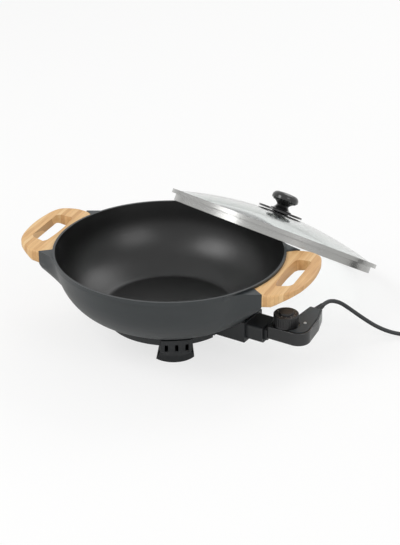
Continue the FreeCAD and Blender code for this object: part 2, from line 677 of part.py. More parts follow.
def make_base_ring():
    body = new_body("base_ring_moulding")
    section = new_sketch(body, "XZ_Plane")
    under = "(base_height - flange_thick)"
    draw(section, [("flange_inner", under), ("ring_radius - ring_wall", under),
                   ("ring_radius - ring_wall", "ring_low"), ("ring_radius", "ring_low"),
                   ("ring_radius", "base_height"), ("flange_inner", "base_height")])
    turn_round(section)
    for start, half in (("(shroud_start - fit_gap)", "(shroud_half + fit_gap)"),
                        ("(flange_inner - 5)", LEG_GATE)):
        notch = new_sketch(body, "XY_Plane", "base_height")
        draw(notch, socket_box(start, "(ring_radius + 5)", half))
        pocket(notch, "base_height")
    holes(body, "base_height", [polar_place("screw_ring", turn) for turn in BASE_TURNS] + EAR_PLACES,
          "screw_shank + screw_gap", "flange_thick", False)
    return body


def foot_section(level, inset):
    """One level of the foot: a bowed front, straight sides and a flat back."""
    share = level / number("base_height")

    def blend(low, high):
        return number(low) + (number(high) - number(low)) * share - inset

    front = blend("foot_reach", "foot_top_reach")
    wide = blend("foot_half", "foot_top_half")
    bow = blend("foot_bow", "foot_top_bow")
    side = front - bow + math.sqrt(bow ** 2 - wide ** 2)
    rear = number("foot_back") + inset
    corners = [Vector(side, -wide, level), Vector(front, 0, level), Vector(side, wide, level),
               Vector(rear, wide * 0.86, level), Vector(rear, -wide * 0.86, level)]
    edges = [Part.Arc(*corners[:3]).toShape()]
    for first, second in ((2, 3), (3, 4), (4, 0)):
        edges.append(Part.LineSegment(corners[first], corners[second]).toShape())
    return Part.Wire(edges)


def foot_form(low, high, inset):
    """The foot's tapered form between two levels, smaller or larger by the inset."""
    return Part.makeLoft([foot_section(low, inset), foot_section(high, inset)], True, True)


def turned(shape, azimuth):
    """A copy of a shape turned about the pan's axis."""
    copy = shape.copy()
    copy.rotate(Vector(), Vector(0, 0, 1), azimuth)
    return copy


def make_foot():
    top = number("base_height")
    wall = number("foot_wall")
    shape = foot_form(0, top, 0).cut(foot_form(-1, top - wall, wall))
    wide = number("vent_width")
    for place in (-1, 0, 1):
        corner = Vector(number("foot_reach") - 12, place * number("vent_pitch") - wide / 2,
                        number("vent_low"))
        shape = shape.cut(Part.makeBox(number("foot_half"), wide, number("vent_high - vent_low"), corner))
    hole = Part.makeCylinder(number("screw_shank + screw_gap"), wall + 2,
                             Vector(number("screw_ring"), 0, top - wall - 1))
    return shape.cut(hole)


ring_moulding = make_base_ring()
doc.recompute()
foot_space = foot_form(-1, number("base_height") + 1, -number("fit_gap"))
add_solids("base_ring", [ring_moulding.Shape.cut(Part.makeCompound(
    [turned(foot_space, azimuth) for label, azimuth in FEET]))])
for label, azimuth in FEET:
    add_solids(label, [turned(make_foot(), azimuth)])


# Screws: a slotted head below and a shank that points up

def screw(spot, shank, length, head, thick):
    """The shank starts at the spot; the head lies under it."""
    cap = Part.makeCylinder(head, thick, spot - Vector(0, 0, thick))
    slot = Part.makeBox(2 * head + 1, 0.9, 0.8, spot - Vector(head + 0.5, 0.45, thick))
    return Part.makeCylinder(shank, length, spot).fuse(cap).cut(slot)


def screws(label, places, low, length, shank="screw_shank", head="screw_head", thick="screw_cap"):
    """Equal screws at places given by expressions."""
    solids = []
    for x, y in places:
        spot = Vector(number(x), number(y), number(low))
        solids.append(screw(spot, number(shank), number(length), number(head), number(thick)))
    add_solids(label, solids)


HANDLE_PLACES = [tongue_centre(side, end) for end in (1, -1) for side in (1, -1)]
screws("handle_screws", HANDLE_PLACES, "%s + head_sink" % WOOD_LOW,
       "tongue_lift + tongue_thick - head_sink - 1")
screws("base_screws", [polar_place("screw_ring", turn) for turn in BASE_TURNS],
       "base_height - flange_thick", "flange_thick + screw_bite - 0.5")
screws("foot_screws", [polar_place("screw_ring", azimuth) for label, azimuth in FEET],
       "base_height - foot_wall", "foot_wall + screw_bite - 0.5")
screws("shroud_screws", EAR_PLACES, "base_height - flange_thick - shroud_wall",
       "flange_thick + shroud_wall + screw_bite - 0.5")
screws("shield_screw", [("0", "0")], "shield_low", "shield_thick + screw_bite + 2")


# Heating element: a horseshoe of tube between the ribs, its ends bent up and out to the socket

def fillet_path(points, radii):
    """Straight runs joined by tangent arcs, as one wire."""
    edges = []
    start = points[0]
    for index in range(1, len(points) - 1):
        back = (points[index - 1] - points[index]).normalize()
        onward = (points[index + 1] - points[index]).normalize()
        half = (math.pi - back.getAngle(onward)) / 2
        reach = radii[index - 1] * math.tan(half)
        enter = points[index] + back * reach
        leave = points[index] + onward * reach
        inward = (back + onward).normalize()
        top = points[index] + inward * (radii[index - 1] * (1 / math.cos(half) - 1))
        edges.append(Part.LineSegment(start, enter).toShape())
        edges.append(Part.Arc(enter, top, leave).toShape())
        start = leave
    edges.append(Part.LineSegment(start, points[-1]).toShape())
    return edges


def tube(edges, radius):
    """A round solid along a path, with its volume compared with section times length."""
    wire = Part.Wire(edges)
    first = edges[0]
    start = first.valueAt(first.FirstParameter)
    heading = first.tangentAt(first.FirstParameter)
    if start.distanceToPoint(wire.OrderedVertexes[0].Point) > 1e-6:
        heading = heading * -1
        start = wire.OrderedVertexes[0].Point
    profile = Part.Wire([Part.makeCircle(radius, start, heading)])
    solid = wire.makePipeShell([profile], True, False)
    share = solid.Volume / (math.pi * radius ** 2 * wire.Length)
    print("tube of %.1f mm, length %.1f, volume share %.4f" % (2 * radius, wire.Length, share))
    return solid


def make_element():
    radius = number("element_radius")
    pipe = number("element_tube")
    side = number("element_leg")
    low = number("base_height - fit_gap - element_tube")
    bend = 8
    centre = Vector(math.sqrt((radius + bend) ** 2 - (side + bend) ** 2), side + bend, low)
    join = Vector(centre.x, centre.y, 0) * (radius / (radius + bend)) + Vector(0, 0, low)
    foot = Vector(centre.x, side, low)
    mid = Vector(centre.x, centre.y, low)
    inward = ((join - mid).normalize() + (foot - mid).normalize()).normalize()
    socket = number("socket_height")
    knee = number("base_radius") + 4
    rise = knee + (socket - low) * number(CONE_TAN)
    leg = fillet_path([foot, Vector(knee, side, low), Vector(rise, side, socket),
                       Vector(number("pin_start"), side, socket)], [10, 10])
    half = [Part.Arc(join, mid + inward * bend, foot).toShape()] + leg
    loop = Part.Arc(Vector(join.x, -join.y, low), Vector(-radius, 0, low), join).toShape()
    mirror = [edge.mirror(Vector(), Vector(0, 1, 0)) for edge in half]
    solid = tube(Part.sortEdges(mirror + [loop] + half)[0], pipe)
    return turned(solid, number("socket_azimuth"))


add_solids("heating_element", [make_element()])


def along_socket(radius, start, end, across, bore=None):
    """A rod, or a sleeve where it has a bore, along the socket's axis."""
    length = number(end) - number(start)
    place = Vector(number(start), number(across), number("socket_height"))
    solid = Part.makeCylinder(number(radius), length, place, Vector(1, 0, 0))
    if bore:
        solid = solid.cut(Part.makeCylinder(number(bore), length + 2, place - Vector(1, 0, 0),
                                            Vector(1, 0, 0)))
    return turned(solid, number("socket_azimuth"))


LEGS = ("element_leg", "0 - element_leg")
add_solids("element_pins", [along_socket("pin_radius", "pin_start", "pin_end", side)
                            for side in LEGS])
add_solids("pin_insulators", [along_socket("bead_radius", "boss_end + fit_gap", "bead_end", side,
                                           "pin_radius + 0.1") for side in LEGS])


# Heat shield: a dished steel plate under the element, notched for its legs

shield = new_body("heat_shield")
shield_section = new_sketch(shield, "XZ_Plane")
SHIELD_RIM = "(base_height - flange_thick)"
SHIELD_FLAT = "(element_radius + element_tube + 1)"
SHIELD_RISE = "(%s - shield_low - shield_thick)" % SHIELD_RIM
draw(shield_section, [
    ("screw_shank + screw_gap", "shield_low"),
    (SHIELD_FLAT + " + 0.5", "shield_low"),
    (SHIELD_FLAT + " + 0.5 + " + SHIELD_RISE, SHIELD_RIM + " - shield_thick"),
    ("shield_radius", SHIELD_RIM + " - shield_thick"),
    ("shield_radius", SHIELD_RIM),
    (SHIELD_FLAT + " + " + SHIELD_RISE, SHIELD_RIM),
    (SHIELD_FLAT, "shield_low + shield_thick"),
    ("screw_shank + screw_gap", "shield_low + shield_thick"),
])
turn_round(shield_section)
shield_notch = new_sketch(shield, "XY_Plane", SHIELD_RIM + " + 1")
draw(shield_notch, socket_box("element_radius", "(shield_radius + 5)",
                              "(element_leg + element_tube + 6)"))
pocket(shield_notch, "%s + 1 - shield_low - 0.01" % SHIELD_RIM)
PARTS["heat_shield"] = shield


# Socket: shroud that follows the bowl, insulating plate, and the collar that the control enters

def socket_body(label):
    return new_body(label, "socket_azimuth")


shroud = socket_body("socket_shroud")
shroud_block = new_sketch(shroud, "XY_Plane", "shroud_low")
draw_box(shroud_block, "shroud_start", "shroud_end", "0 - shroud_half", "shroud_half")
pad(shroud_block, "shroud_high - shroud_low")
bowl = new_sketch(shroud, "XZ_Plane")
SHIFT = "fit_gap / cos(cone_slope)"
bend = bowl_bend("(%s + %s)" % (CORNER_R, SHIFT), CORNER_Z, "bowl_bend")
draw(bowl, [("0", "base_height"), ("base_radius + " + SHIFT, "base_height")] + bend
     + [("0", bend[1][1])])
turn_round(bowl, cut=True)
shroud_room = new_sketch(shroud, "XY_Plane", "shroud_low + shroud_wall")
draw_box(shroud_room, "shroud_start - 1", "shroud_end - shroud_wall",
         "0 - shroud_half + shroud_wall", "shroud_half - shroud_wall")
pocket(shroud_room, "shroud_high", onward=True)
shroud_mouth = new_sketch(shroud, "YZ_Plane", "shroud_end - shroud_wall - 1")
draw_box(shroud_mouth, "0 - collar_half + shroud_wall + 0.3", "collar_half - shroud_wall - 0.3",
         "collar_low + shroud_wall", "collar_high - shroud_wall")
pocket(shroud_mouth, "shroud_wall + 2", onward=True)
shroud_gate = new_sketch(shroud, "XY_Plane", "shroud_low - 1")
draw_box(shroud_gate, "shroud_start - 1", "base_radius + 18", "0 - " + LEG_GATE, LEG_GATE)
pocket(shroud_gate, "shroud_wall + 2", onward=True)
shroud_ears = new_sketch(shroud, "XY_Plane", "base_height - flange_thick - shroud_wall")
for low, high in (("0 - shroud_half", "0 - " + LEG_GATE), (LEG_GATE, "shroud_half")):
    draw_box(shroud_ears, "screw_ring", "shroud_start + 5", low, high)
pad(shroud_ears, "shroud_wall")
holes(shroud, "base_height - flange_thick", [("ear_place", "ear_side"), ("ear_place", "0 - ear_side")],
      "screw_shank + screw_gap", "shroud_wall", False)
PARTS["socket_shroud"] = shroud

plate = socket_body("terminal_plate")
plate_sketch = new_sketch(plate, "YZ_Plane", "boss_end")
draw_box(plate_sketch, "0 - plate_half", "plate_half", "socket_height - 9", "socket_height + 10")
draw_circle(plate_sketch, "0", "socket_height", "probe_radius + fit_gap + 0.1")
for side in LEGS:
    draw_circle(plate_sketch, side, "socket_height", "bead_radius + fit_gap")
pad(plate_sketch, "plate_thick")
PARTS["terminal_plate"] = plate

collar = socket_body("socket_collar")
collar_sketch = new_sketch(collar, "YZ_Plane", "shroud_end")
draw_rounded(collar_sketch, "0 - collar_half", "collar_half", "collar_low", "collar_high", "4")
draw_rounded(collar_sketch, "0 - collar_half + shroud_wall", "collar_half - shroud_wall",
             "collar_low + shroud_wall", "collar_high - shroud_wall", "1.5")
pad(collar_sketch, "collar_end - shroud_end")
PARTS["socket_collar"] = collar


# Lid: glass dome in a steel band, with a knob over a slotted heat guard

GLASS_EDGE = "(flange_radius - band - seal)"
GLASS_BEND = "(flange_radius - band - seal - 6)"
RISE = "(lid_rise - seal - glass)"
SPHERE = "((%s ^ 2 + %s ^ 2) / (2 * %s))" % (GLASS_BEND, RISE, RISE)
HOLE_DROP = "(%s - sqrt(%s ^ 2 - stud_hole ^ 2))" % (SPHERE, SPHERE)
BAND_TOP = "(2 * seal + glass)"
GUARD_LOW = "(lid_rise + gasket)"
KNOB_LOW = "(lid_rise + gasket + guard_thick)"


def lean(body):
    """Puts a lid part, made about its own axis, where the lid leans on the pan."""
    azimuth = math.radians(number("lid_lean_azimuth"))
    axis = Vector(-math.sin(azimuth), math.cos(azimuth), 0)
    body.Placement = FreeCAD.Placement(Vector(), FreeCAD.Rotation(axis, number("lid_tilt")))
    bind(body, **{"Placement.Base.x": "lid_x", "Placement.Base.y": "lid_y",
                  "Placement.Base.z": "lid_z"})
    body.setExpression("Placement.Rotation.Angle", bound("lid_tilt"))


def lid_part(label, points):
    body = lathe(label, points)
    PARTS[label] = body
    return body


lid_part("lid_glass", [
    ("stud_hole", "lid_rise - glass - " + HOLE_DROP, "0 - " + SPHERE),
    (GLASS_BEND, "seal"), (GLASS_EDGE, "seal"), (GLASS_EDGE, "seal + glass"),
    (GLASS_BEND, "seal + glass", SPHERE), ("stud_hole", "lid_rise - " + HOLE_DROP)])
lid_part("lid_band", [
    ("skirt_radius", "0 - skirt_drop"), ("skirt_radius", "0 - band"), ("flange_radius", "0 - band"),
    ("flange_radius", BAND_TOP + " + band"), ("flange_radius - band_cover", BAND_TOP + " + band"),
    ("flange_radius - band_cover", BAND_TOP), ("flange_radius - band", BAND_TOP),
    ("flange_radius - band", "0"), ("skirt_radius - band", "0"),
    ("skirt_radius - band", "0 - skirt_drop")])
lid_part("lid_seal", [
    ("skirt_radius", "0"), ("flange_radius - band", "0"), ("flange_radius - band", BAND_TOP),
    ("flange_radius - band_cover", BAND_TOP), ("flange_radius - band_cover", "seal + glass"),
    (GLASS_EDGE, "seal + glass"), (GLASS_EDGE, "seal"), ("skirt_radius", "seal")])
lid_part("knob_washer", [
    ("stud_hole", "lid_rise - glass - fit_gap - 2"), ("washer_radius", "lid_rise - glass - fit_gap - 2"),
    ("washer_radius", "lid_rise - glass - fit_gap"), ("stud_hole", "lid_rise - glass - fit_gap")])
lid_part("knob_gasket", [
    ("stud_hole", "lid_rise"), ("knob_foot - 4", "lid_rise"),
    ("knob_foot - 4", GUARD_LOW), ("stud_hole", GUARD_LOW)])

guard = lathe("knob_guard", [
    ("stud_hole", GUARD_LOW), ("guard_radius", GUARD_LOW),
    ("guard_radius", KNOB_LOW), ("stud_hole", KNOB_LOW)])
guard_slot = new_sketch(guard, "XY_Plane", KNOB_LOW)
draw(guard_slot, [
    ("knob_foot", "0 - guard_bar"), ("guard_radius - guard_ring", "0 - guard_slot_half", "guard_radius"),
    ("guard_radius - guard_ring", "guard_slot_half"), ("knob_foot", "guard_bar")])
polar(guard, pocket(guard_slot, "guard_thick"), "guard_slots")
PARTS["knob_guard"] = guard

lid_part("lid_knob", [
    ("stud_radius + 0.1", KNOB_LOW), ("knob_foot - 1", KNOB_LOW), ("knob_foot", KNOB_LOW + " + 1.5"),
    ("knob_foot - 3", KNOB_LOW + " + 2.5", "0 - 12"), ("knob_neck", KNOB_LOW + " + 9", "0 - 12"),
    ("knob_radius - 4", KNOB_LOW + " + 15"), ("knob_radius", KNOB_LOW + " + 18.5"),
    ("knob_radius", KNOB_LOW + " + 22.5", "9"),
    ("knob_crown", "lid_rise + knob_high - knob_dome", "(knob_crown ^ 2 + knob_dome ^ 2) / (2 * knob_dome)"),
    ("0", "lid_rise + knob_high"), ("0", "lid_rise + knob_high - 10"),
    ("stud_radius + 0.1", "lid_rise + knob_high - 10")])
lid_part("knob_screw", [
    ("0", "lid_rise - glass - fit_gap - 4.5"), ("4.5", "lid_rise - glass - fit_gap - 4.5"),
    ("4.5", "lid_rise - glass - fit_gap - 2"), ("stud_radius", "lid_rise - glass - fit_gap - 2"),
    ("stud_radius", "lid_rise + knob_high - 11"), ("0", "lid_rise + knob_high - 11")])
for label in ("lid_glass", "lid_band", "lid_seal", "knob_washer", "knob_gasket", "knob_guard",
              "lid_knob", "knob_screw"):
    lean(PARTS[label])


# Control: plug-in block with probe and sleeves, two-part housing, top plate, dial and lamp

def control_plan(inset="0"):
    """Plan of the housing in the socket's frame, inside its edge by the inset."""
    return [
        ("body_start + %s" % inset, "0 - body_half + %s" % inset),
        ("(nose_reach - 17.5)", "0 - body_half + %s" % inset, "20 - %s" % inset),
        ("nose_reach - %s" % inset, "6"),
        ("(nose_reach - 5.5) - %s" % inset, "42"),
        ("tail_outer - %s" % inset, "tail_reach - %s" % inset),
        ("(tail_inner + 2.5) + %s" % inset, "tail_reach - %s" % inset),
        ("tail_inner + %s" % inset, "24 + 0.3 * %s" % inset),
        ("body_start + %s" % inset, "body_half - %s" % inset),
    ]


def half_shell(label, low, high, open_low):
    """One half of the housing, hollow, and open on the side that meets the other half."""
    body = socket_body(label)
    plan = new_sketch(body, "XY_Plane", low)
    draw(plan, control_plan())
    pad(plan, "%s - %s" % (high, low))
    round_edges(body, "body_corner", lambda edge: abs(edge.tangentAt(edge.FirstParameter).z) > 0.99)
    outer = number(high if open_low else low)
    inner = number(low if open_low else high)
    base = body.Tip
    names = ["Face%d" % (index + 1) for index, face in enumerate(base.Shape.Faces)
             if abs(face.CenterOfMass.z - inner) < 0.01]
    shell = body.newObject("PartDesign::Thickness", label + "_shell")
    shell.Base = (base, names)
    shell.Reversed = True
    shell.Join = "Intersection"
    bind(shell, Value="body_wall")
    radius = "body_edge_top" if open_low else "body_edge_low"
    round_edges(body, radius, lambda edge: all(abs(vertex.Point.z - outer) < 0.01
                                               for vertex in edge.Vertexes))
    return body


SPINE = ("dial_place", "dial_side")
POSTS = [("body_start + 12", "0 - body_half + 6.5"), ("nose_reach - 9", "4"),
         ("tail_inner + 9", "tail_reach - 9")]


def add_opening(body):
    """The opening through which the plug-in block's tenon enters the housing."""
    opening = new_sketch(body, "YZ_Plane", "body_start - 1")
    draw_box(opening, "0 - tenon_half - fit_gap", "tenon_half + fit_gap",
             "body_low + body_wall", "tenon_high + fit_gap")
    pocket(opening, "body_wall + 2", onward=True)


control_base = half_shell("control_base", "body_low", "body_split", False)
add_opening(control_base)
holes(control_base, "body_low", POSTS, "small_head + fit_gap", "small_cap + 0.1", True)
holes(control_base, "body_low", POSTS, "small_shank + fit_gap", "body_wall + 1", True)
PARTS["control_base"] = control_base

control_cover = half_shell("control_cover", "body_split", "body_high", True)
posts = new_sketch(control_cover, "XY_Plane", "body_low + body_wall")
for across, up in POSTS:
    draw_circle(posts, across, up, "small_head + 0.8")
pad(posts, "body_high - body_wall - body_low - body_wall + 0.5")
add_opening(control_cover)
holes(control_cover, "body_low + body_wall", POSTS, "small_shank", "small_bite", True)
holes(control_cover, "body_high + 1", [SPINE], "spindle_radius + fit_gap", "body_wall + 2", False)
PARTS["control_cover"] = control_cover

cover_plate = socket_body("cover_plate")
plate_plan = new_sketch(cover_plate, "XY_Plane", "body_high")
INNER_PLAN = control_plan("face_inset")
draw(plate_plan, [("dial_place - 4", INNER_PLAN[0][1])] + INNER_PLAN[1:7] + [("dial_place - 4", "19")])
pad(plate_plan, "face_thick")
holes(cover_plate, "body_high", [SPINE], "dial_radius + 2", "face_thick + 1", True)
holes(cover_plate, "body_high", [("lamp_place", "lamp_side")], "lamp_radius + 0.2", "face_thick + 1",
      True)
PARTS["cover_plate"] = cover_plate

lamp = doc.addObject("Part::Cylinder", "pilot_lamp_rod")
bind(lamp, Radius="lamp_radius", Height="face_thick + 1.3")
pilot_lamp = doc.addObject("Part::Fillet", "pilot_lamp")
pilot_lamp.Base = lamp
doc.recompute()
pilot_lamp.Edges = [(index + 1, 1.2, 1.2) for index, edge in enumerate(lamp.Shape.Edges)
                    if middle(edge).z > number("face_thick + 1.2") and len(edge.Vertexes) == 1]
put(pilot_lamp, socket_place("lamp_place", "lamp_side"), "body_high")
PARTS["pilot_lamp"] = pilot_lamp

block = socket_body("contact_block")
block_nose = new_sketch(block, "YZ_Plane", "nose_start")
draw_rounded(block_nose, "0 - nose_half", "nose_half", "nose_low", "nose_high", "2")
pad(block_nose, "body_start - nose_start")
block_tenon = new_sketch(block, "YZ_Plane", "body_start")
draw_box(block_tenon, "0 - tenon_half", "tenon_half", "body_low + body_wall + fit_gap", "tenon_high")
pad(block_tenon, "body_wall + 4")
for side, radius in (("0", "probe_radius + 0.1"), ("element_leg", "sleeve_radius + 0.1"),
                     ("0 - element_leg", "sleeve_radius + 0.1")):
    bore = new_sketch(block, "YZ_Plane", "nose_start - 1")
    draw_circle(bore, side, "socket_height", radius)
    pocket(bore, "sleeve_end - nose_start + 1", onward=True)
PARTS["contact_block"] = block
add_solids("contact_sleeves", [along_socket("sleeve_radius", "nose_start + 1", "sleeve_end", side,
                                            "pin_radius + 0.4") for side in LEGS])
add_solids("probe", [along_socket("probe_radius", "probe_tip", "sleeve_end", "0")])
screws("control_screws", [socket_place(*post) for post in POSTS], "body_low + small_cap + 0.1",
       "body_wall - small_cap - 0.1 + small_bite - 0.5", "small_shank", "small_head", "small_cap")

frame = socket_body("switch_frame")
frame_foot = new_sketch(frame, "XY_Plane", "body_low + body_wall")
draw_box(frame_foot, "dial_place - 11", "dial_place + 18", "dial_side - 7", "dial_side + 7")
draw_circle(frame_foot, "dial_place", "dial_side", "spindle_radius + 1")
pad(frame_foot, "frame_sheet")
frame_stand = new_sketch(frame, "XY_Plane", "body_low + body_wall")
draw_box(frame_stand, "dial_place + 18 - frame_sheet", "dial_place + 18", "dial_side - 7", "dial_side + 7")
pad(frame_stand, "body_high - body_wall - 2 - body_low - body_wall")
frame_arm = new_sketch(frame, "XY_Plane", "body_split - frame_sheet")
draw_box(frame_arm, "dial_place + 5.5", "dial_place + 18", "dial_side - 3", "dial_side + 3")
pad(frame_arm, "frame_sheet")
PARTS["switch_frame"] = frame


# Dial: ribbed cap with a number ring and a raised grip, on a spindle

dial = new_body("dial_cap")
dial_section = new_sketch(dial, "XZ_Plane")
DIAL_TOP = "(body_high + dial_gap + dial_height)"
draw(dial_section, [
    ("spindle_radius + 0.1", DIAL_LOW + " + 6"), ("spindle_radius + 3", DIAL_LOW + " + 6"),
    ("spindle_radius + 3", DIAL_TOP + " - 7"), ("dial_radius - dial_skirt", DIAL_TOP + " - 7"),
    ("dial_radius - dial_skirt", DIAL_LOW), ("dial_radius", DIAL_LOW),
    ("dial_radius", DIAL_TOP + " - 4"), ("dial_radius - 1", DIAL_TOP + " - 3"),
    ("dial_grip", DIAL_TOP + " - 3"), ("dial_grip - 0.7", DIAL_TOP), ("0", DIAL_TOP),
    ("0", DIAL_TOP + " - 4.5"), ("spindle_radius + 0.1", DIAL_TOP + " - 4.5")])
turn_round(dial_section)
rib = new_sketch(dial, "XY_Plane", DIAL_LOW + " + 3")
draw(rib, [("dial_radius - 0.8", "0 - 0.5"), ("dial_radius + 1", "0 - 1.2"),
           ("dial_radius + 1", "1.2"), ("dial_radius - 0.8", "0.5")])
polar(dial, pocket(rib, "dial_height - 9", onward=True), "dial_ribs")
put(dial, socket_place(*SPINE), "0", "socket_azimuth")
PARTS["dial"] = dial

spindle = doc.addObject("Part::Cylinder", "dial_spindle")
bind(spindle, Radius="spindle_radius", Height="%s - 5 - body_low - body_wall - 0.5" % DIAL_TOP)
put(spindle, socket_place(*SPINE), "body_low + body_wall + 0.5")
PARTS["dial_spindle"] = spindle


# Strain relief: a ribbed tapered sleeve that the lead comes out of

relief = new_body("strain_relief")
relief_section = new_sketch(relief, "XZ_Plane")
points = [("0", "0"), ("relief_radius", "0")]
for step in range(4):
    low = "(relief_long * (0.12 + 0.2 * %d))" % step
    taper = "(relief_radius - 0.45 * %d)" % step
    points += [(taper, low), (taper + " - 1.1", low + " + 0.2"),
               (taper + " - 1.1", low + " + 1.6"), (taper + " - 0.3", low + " + 1.8")]
points += [("cord_radius + 1", "relief_long"), ("0", "relief_long")]
draw(relief_section, points)
turn_round(relief_section)
azimuth = number("socket_azimuth")
across = FreeCAD.Rotation(Vector(0, 0, 1), azimuth) * FreeCAD.Rotation(Vector(1, 0, 0), -90)
relief.Placement = FreeCAD.Placement(Vector(), across)
x, y = socket_place("exit_place", "tail_reach")
bind(relief, **{"Placement.Base.x": x, "Placement.Base.y": y, "Placement.Base.z": "exit_height"})
PARTS["strain_relief"] = relief


# Cord: the free stretch runs down to the table, then a tied coil and a plug

def cord_start():
    x, y = socket_place("exit_place", "tail_reach + relief_long")
    return Vector(number(x), number(y), number("exit_height"))


COIL_AZIMUTH = 80
COIL_CENTRE = Vector(number("coil_x"), number("coil_y"), 0)
COIL_HALF_TURNS = 4
heading = Vector(math.cos(math.radians(COIL_AZIMUTH)), math.sin(math.radians(COIL_AZIMUTH)), 0)
outward = Vector(heading.y, -heading.x, 0)
cord_low = number("cord_radius + tie_thick + fit_gap")
straight = number("2 * cord_radius")
coil_start = COIL_CENTRE + outward * number("coil_radius") - heading * straight + Vector(0, 0, cord_low)
ROUTE = [
    cord_start(),
    Vector(232.6, 74.4, 69),
    Vector(238, 88, 66),
    Vector(248, 99, 59),
    Vector(262, 106, 47),
    Vector(280, 112, 33),
    Vector(302, 119, 18),
    Vector(326, 127, 8),
    Vector(352, 137, cord_low),
    Vector(378, 152, cord_low),
    Vector(398, 174, cord_low),
    coil_start - heading * number("coil_lead"),
    coil_start,
]


def route_radii(points):
    """Each arc as large as its two runs allow."""
    radii = []
    for before, here, after in zip(points, points[1:], points[2:]):
        half = (here - before).getAngle(after - here) / 2
        radii.append(0.45 * min((here - before).Length, (after - here).Length) / math.tan(half))
    return radii


radii = route_radii(ROUTE)
print("cord radii", [round(radius) for radius in radii])
add_solids("cord_lead", [tube(fillet_path(ROUTE, radii), number("cord_radius"))])


def quarter_arcs(first, leaving, last, arriving):
    """Two tangent arcs between two points with given directions."""
    span = last - first
    turn = 1 - leaving.dot(arriving)
    along = span.dot(leaving + arriving)
    reach = (-along + math.sqrt(along ** 2 + 2 * turn * span.dot(span))) / (2 * turn)
    joint = (first + last + (leaving - arriving) * reach) * 0.5
    arcs = []
    for start, end, way in ((first, joint, leaving), (last, joint, arriving * -1)):
        chord = end - start
        line = Vector(chord).normalize()
        rise = (way - line * way.dot(line)).normalize()
        half = way.getAngle(chord)
        top = start + chord * 0.5 + rise * (chord.Length / 2 * math.tan(half / 2))
        arcs.append((start, top, end))
    (a, b, c), (d, e, f) = arcs
    return [Part.Arc(a, b, c).toShape(), Part.Arc(f, e, d).toShape()]


def coil_edges():
    """Half turns that spiral in on the lower layer, climb, and spiral out on the upper one."""
    pitch = number("2 * cord_radius + coil_gap")
    radius = number("coil_radius")
    stations = []
    for step in range(COIL_HALF_TURNS + 1):
        stations.append((radius - pitch / 2 * step, cord_low))
    stations.append((radius - pitch / 2 * (COIL_HALF_TURNS + 1), cord_low + pitch))
    for step in range(COIL_HALF_TURNS - 1, 0, -1):
        stations.append((radius - pitch / 2 * step, cord_low + pitch))
    points = []
    for step, (size, height) in enumerate(stations):
        way = 1 if step % 2 == 0 else -1
        points.append((COIL_CENTRE + outward * (size * way) + Vector(0, 0, height), heading * way))
    first = points[0][0]
    edges = [Part.LineSegment(first - heading * straight, first).toShape()]
    for (start, leaving), (end, arriving) in zip(points, points[1:]):
        edges += quarter_arcs(start, leaving, end, arriving)
    end, way = points[-1]
    edges.append(Part.LineSegment(end, end + way * number("coil_tail")).toShape())
    return edges, end + way * number("coil_tail")


def least_gap(edges, radius):
    """Least gap of the coil to itself, between points more than half a turn apart."""
    spots = []
    travelled = 0
    for edge in edges:
        for share in range(12):
            span = edge.LastParameter - edge.FirstParameter
            spots.append((travelled + edge.Length * share / 12,
                          edge.valueAt(edge.FirstParameter + span * share / 12)))
        travelled += edge.Length
    least = 1000
    for index, (here, spot) in enumerate(spots):
        for there, other in spots[index + 1:]:
            if there - here > 60:
                least = min(least, spot.distanceToPoint(other) - 2 * radius)
    return least


coil, coil_end = coil_edges()
print("coil's least gap %.2f" % least_gap(coil, number("cord_radius")))
add_solids("cord_coil", [tube(coil, number("cord_radius"))])


def in_coil_frame(shape, spot):
    """Turns a shape made along +X to the coil's heading and moves it to a spot."""
    shape.rotate(Vector(), Vector(0, 0, 1), COIL_AZIMUTH)
    shape.translate(spot)
    return shape


def make_tie():
    """A flat strap round all turns of the coil, on the side away from the lead."""
    pitch = number("2 * cord_radius + coil_gap")
    thick = number("tie_thick")
    gap = number("fit_gap")
    near = number("coil_radius") - pitch / 2 * (COIL_HALF_TURNS + 1) - number("cord_radius") - gap
    far = number("coil_radius") - pitch / 2 + number("cord_radius") + gap
    high = cord_low + pitch + number("cord_radius") + gap
    wide = number("tie_wide")
    outer = Part.makeBox(wide, far - near + 2 * thick, high + thick, Vector(-wide / 2, near - thick, 0))
    inner = Part.makeBox(wide + 2, far - near, high - thick, Vector(-wide / 2 - 1, near, thick))
    return in_coil_frame(outer.cut(inner), COIL_CENTRE)


add_solids("cord_tie", [make_tie()])


def plug_section(along, half_wide, half_high):
    """One upright section of the plug, with rounded corners."""
    corner = min(half_wide, half_high) * 0.35
    points = [(half_wide, -half_high), (half_wide, half_high), (-half_wide, half_high),
              (-half_wide, -half_high)]
    edges = []
    for index, (y, z) in enumerate(points):
        after = points[(index + 1) % 4]
        way = Vector(0, after[0] - y, after[1] - z).normalize()
        start = Vector(along, y, z) + way * corner
        end = Vector(along, *after) - way * corner
        edges.append(Part.LineSegment(start, end).toShape())
        beyond = points[(index + 2) % 4]
        turn = Vector(0, beyond[0] - after[0], beyond[1] - after[1]).normalize()
        middle_spot = Vector(along, *after) + (turn - way) * (corner * (1 - math.sqrt(0.5)))
        edges.append(Part.Arc(end, middle_spot, Vector(along, *after) + turn * corner).toShape())
    return Part.Wire(edges)


def make_plug():
    half_high = coil_end.z - number("fit_gap")
    half_wide = number("plug_half")
    length = number("plug_long")
    sections = [plug_section(0, 4.6, 4.6), plug_section(length * 0.4, 6.5, 6.5),
                plug_section(length * 0.62, half_wide, half_high),
                plug_section(length, half_wide, half_high)]
    shape = Part.makeLoft(sections, True, True)
    return in_coil_frame(shape, coil_end)


